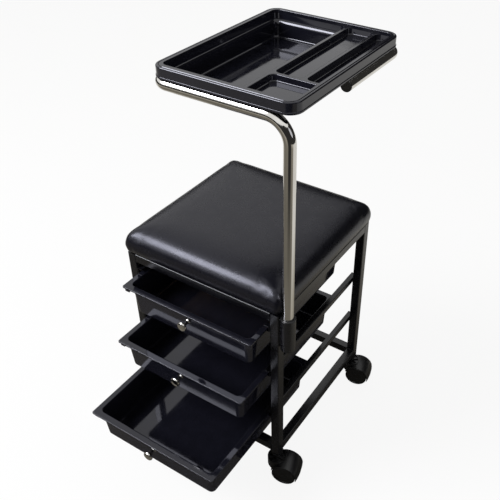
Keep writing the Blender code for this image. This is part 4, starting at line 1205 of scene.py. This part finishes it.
class TROLLEY_OT_stage(BuildStep, bpy.types.Operator):
    """Pale floor and backdrop, a dimmer room for reflections alone, soft lamps and the camera"""
    bl_idname = "trolley.stage"
    bl_label = "Stage"

    def build(self, sizes):
        scene = bpy.context.scene
        scene.view_settings.view_transform = 'Standard'
        values = scene.trolley_stage
        self.world(scene)
        self.floor(values)
        self.lamp("key_softbox", (-1.45, -1.5, 2.2), (0.0, -0.05, 0.45), 1.4, values.key_power)
        self.lamp("fill_softbox", (2.3, 0.3, 1.5), (0.0, 0.05, 0.35), 1.3, values.fill_power)
        self.room()
        self.camera(scene)

    def world(self, scene):
        """Sky: a soft grey light, seen white in the background and, above the room's walls, in mirrors."""
        world = bpy.data.worlds.new("studio")
        scene.world = world
        world.use_nodes = True
        tree = world.node_tree
        tree.nodes.clear()
        soft = add_node(tree, "ShaderNodeBackground", {"Color": linear("#f4f6f8"), "Strength": 0.50})
        white = add_node(tree, "ShaderNodeBackground", {"Color": (1, 1, 1, 1), "Strength": 1.0})
        mix = lit_and_seen(tree, soft, white)
        add_node(tree, "ShaderNodeOutputWorld", {"Surface": mix.outputs["Shader"]})

    def floor(self, values):
        """Wide sheet of matt paint, swept up at the back."""
        bm = bmesh.new()
        span = 6.0
        sweep_up = ((-span, 0.0), (span * 0.5, 0.0), (span * 0.72, 0.12), (span * 0.9, 0.6), (span, 1.6),
                    (span, 5.0))
        wall_faces(bm, [[bm.verts.new((x, y, z)) for x in (-span, span)] for y, z in sweep_up], closed=False)
        floor = mesh_object("studio_floor", bm)
        floor.data.shade_smooth()
        material, tree = new_material("matt_studio_paint")[:2]
        paint = add_node(tree, "ShaderNodeBsdfPrincipled", {
            "Base Color": tuple(values.floor_colour), "Roughness": 0.9})
        white = add_node(tree, "ShaderNodeEmission", {"Color": (1, 1, 1, 1), "Strength": 1.0})
        mix = lit_and_seen(tree, paint, white, 0.90)
        add_node(tree, "ShaderNodeOutputMaterial", {"Surface": mix.outputs["Shader"]})
        floor.data.materials.append(material)

    def room(self):
        """Dim studio walls and a darkened floor with a painted shadow under the trolley, which only glossy
        surfaces show.
        """
        turns = 72
        reach = 3.0
        wall, rise, tallest = 1.95, 0.9, math.radians(20)
        angles = [i * math.tau / turns for i in range(turns)]
        flat, skirting = [0.002] * turns, [0.006] * turns
        tops = [wall + rise * max(-1.0, min(1.0, 2.4 * math.cos(a - tallest))) for a in angles]
        bm = bmesh.new()
        rows = []
        for radius, heights in ((0.004, flat), (1.6, flat), (2.99, flat), (reach, skirting), (reach, tops)):
            rows.append([bm.verts.new((radius * math.cos(a), radius * math.sin(a), z))
                         for a, z in zip(angles, heights)])
        wall_faces(bm, rows)
        room = mesh_object("studio_room", bm)
        room.data.materials.append(self.room_shade())
        room.visible_camera = False
        room.visible_diffuse = False
        room.visible_shadow = False

    def room_shade(self):
        """Glow, dark on the walls, in front of the trolley and along one lane to the eye, with the trolley's
        shadow painted dark under it.
        """
        material, tree, place = new_material("studio_walls_and_floor")
        axes = add_node(tree, "ShaderNodeSeparateXYZ", {"Vector": place})
        reach = add_node(tree, "ShaderNodeVectorMath", {0: place}, operation='LENGTH').outputs["Value"]
        to_eye = (0.515, -0.857, 0.0)
        ahead = add_node(tree, "ShaderNodeVectorMath", {
            0: place, 1: to_eye}, operation='DOT_PRODUCT').outputs["Value"]
        toward = add_node(tree, "ShaderNodeMath", {0: ahead, 1: reach}, operation='DIVIDE').outputs[0]
        # the last span, under, is a painted shadow of the trolley on the floor under and round it, seen only
        # in reflections
        lane, far, near, front, under = (
            add_node(tree, "ShaderNodeMapRange", {
                "Value": value, "From Min": start, "From Max": end, "To Min": least, "To Max": most},
                interpolation_type=blend).outputs["Result"]
            for value, start, end, least, most, blend in (
                (toward, 0.74, 0.97, 0.0, 1.0, 'SMOOTHSTEP'),
                (reach, 0.5, 1.3, 0.78, 1.0, 'LINEAR'),
                (reach, 0.9, 3.0, 0.84, 0.40, 'SMOOTHSTEP'),
                (axes.outputs["Y"], 0.1, -0.3, 0.0, 1.0, 'SMOOTHSTEP'),
                (reach, 0.2, 1.1, 0.97, 0.10, 'SMOOTHSTEP')))
        shade = add_node(tree, "ShaderNodeMath", {0: axes.outputs["Z"], 1: 0.004}, operation='GREATER_THAN')
        for first, second in ((lane, far), (near, front), (under, 1.0)):
            part = add_node(tree, "ShaderNodeMath", {0: first, 1: second}, operation='MULTIPLY')
            shade = add_node(tree, "ShaderNodeMath", {
                0: shade.outputs[0], 1: part.outputs[0]}, operation='MAXIMUM')
        tone = add_node(tree, "ShaderNodeValToRGB", {"Fac": shade.outputs[0]}, stops=(
            (0.0, "#f2f1ee"), (0.5, "#b0aba0"), (0.8, "#7f7a70"), (1.0, "#323130")))
        glow = add_node(tree, "ShaderNodeEmission", {"Color": tone.outputs["Color"], "Strength": 1.0})
        add_node(tree, "ShaderNodeOutputMaterial", {"Surface": glow.outputs["Emission"]})
        return material

    def lamp(self, name, spot, aim, size, power):
        """Round softbox at a spot, turned towards its aim."""
        light = bpy.data.lights.new(name, 'AREA')
        light.shape = 'DISK'
        light.size = size
        light.energy = power
        light.color = linear("#f4f6ff")[:3]
        lamp = linked(name, light)
        lamp.location = spot
        lamp.rotation_euler = (Vector(aim) - Vector(spot)).to_track_quat('-Z', 'Y').to_euler()

    def camera(self, scene):
        """Standing eye in front and to the right, looking down at the drawers."""
        lens = bpy.data.cameras.new("camera")
        camera = linked("camera", lens)
        around, down, lean = (math.radians(v) for v in (30.9, 37.28, 1.17))
        right = Vector((math.cos(around), math.sin(around), 0))
        back = Vector((math.sin(around) * math.cos(down), -math.cos(around) * math.cos(down), math.sin(down)))
        up = back.cross(right)
        side = math.cos(lean) * right + math.sin(lean) * up
        head = -math.sin(lean) * right + math.cos(lean) * up
        spot = Vector((CENTRE_X + 0.6114, CENTRE_Y - 0.8521, FRAME_LOW.z + 1.133))
        camera.matrix_world = Matrix((
            (side.x, head.x, back.x, spot.x),
            (side.y, head.y, back.y, spot.y),
            (side.z, head.z, back.z, spot.z),
            (0, 0, 0, 1)))
        lens.sensor_width = 36.0
        lens.lens = 48.18
        lens.shift_x = -0.0952
        lens.shift_y = 0.0064
        scene.camera = camera


# Panel and registration

STEPS = (
    TROLLEY_OT_frame_tubes,
    TROLLEY_OT_runners,
    TROLLEY_OT_socket,
    TROLLEY_OT_drawers,
    TROLLEY_OT_knobs,
    TROLLEY_OT_seat,
    TROLLEY_OT_tray_tube,
    TROLLEY_OT_tray,
    TROLLEY_OT_casters,
    TROLLEY_OT_stage,
)


class TROLLEY_PT_build(bpy.types.Panel):
    """Lists the trolley's building steps with their sizes and colours"""
    bl_idname = "TROLLEY_PT_build"
    bl_label = "Rolling Salon Trolley"
    bl_space_type = 'VIEW_3D'
    bl_region_type = 'UI'
    bl_category = "Trolley"

    def draw(self, context):
        layout = self.layout
        for values in (context.scene.trolley_sizes, context.scene.trolley_stage):
            column = layout.column(align=True)
            for name in values.__annotations__:
                column.prop(values, name)
        column = layout.column(align=True)
        for step in STEPS:
            column.operator(step.bl_idname)


CLASSES = (TrolleySizes, TrolleyStage) + STEPS + (TROLLEY_PT_build,)


def register():
    for item in CLASSES:
        bpy.utils.register_class(item)
    bpy.types.Scene.trolley_sizes = bpy.props.PointerProperty(type=TrolleySizes)
    bpy.types.Scene.trolley_stage = bpy.props.PointerProperty(type=TrolleyStage)


def unregister():
    del bpy.types.Scene.trolley_stage
    del bpy.types.Scene.trolley_sizes
    for item in reversed(CLASSES):
        bpy.utils.unregister_class(item)


def main():
    register()
    for step in STEPS:
        group, name = step.bl_idname.split(".")
        getattr(getattr(bpy.ops, group), name)()
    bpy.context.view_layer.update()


if __name__ == "__main__":
    main()
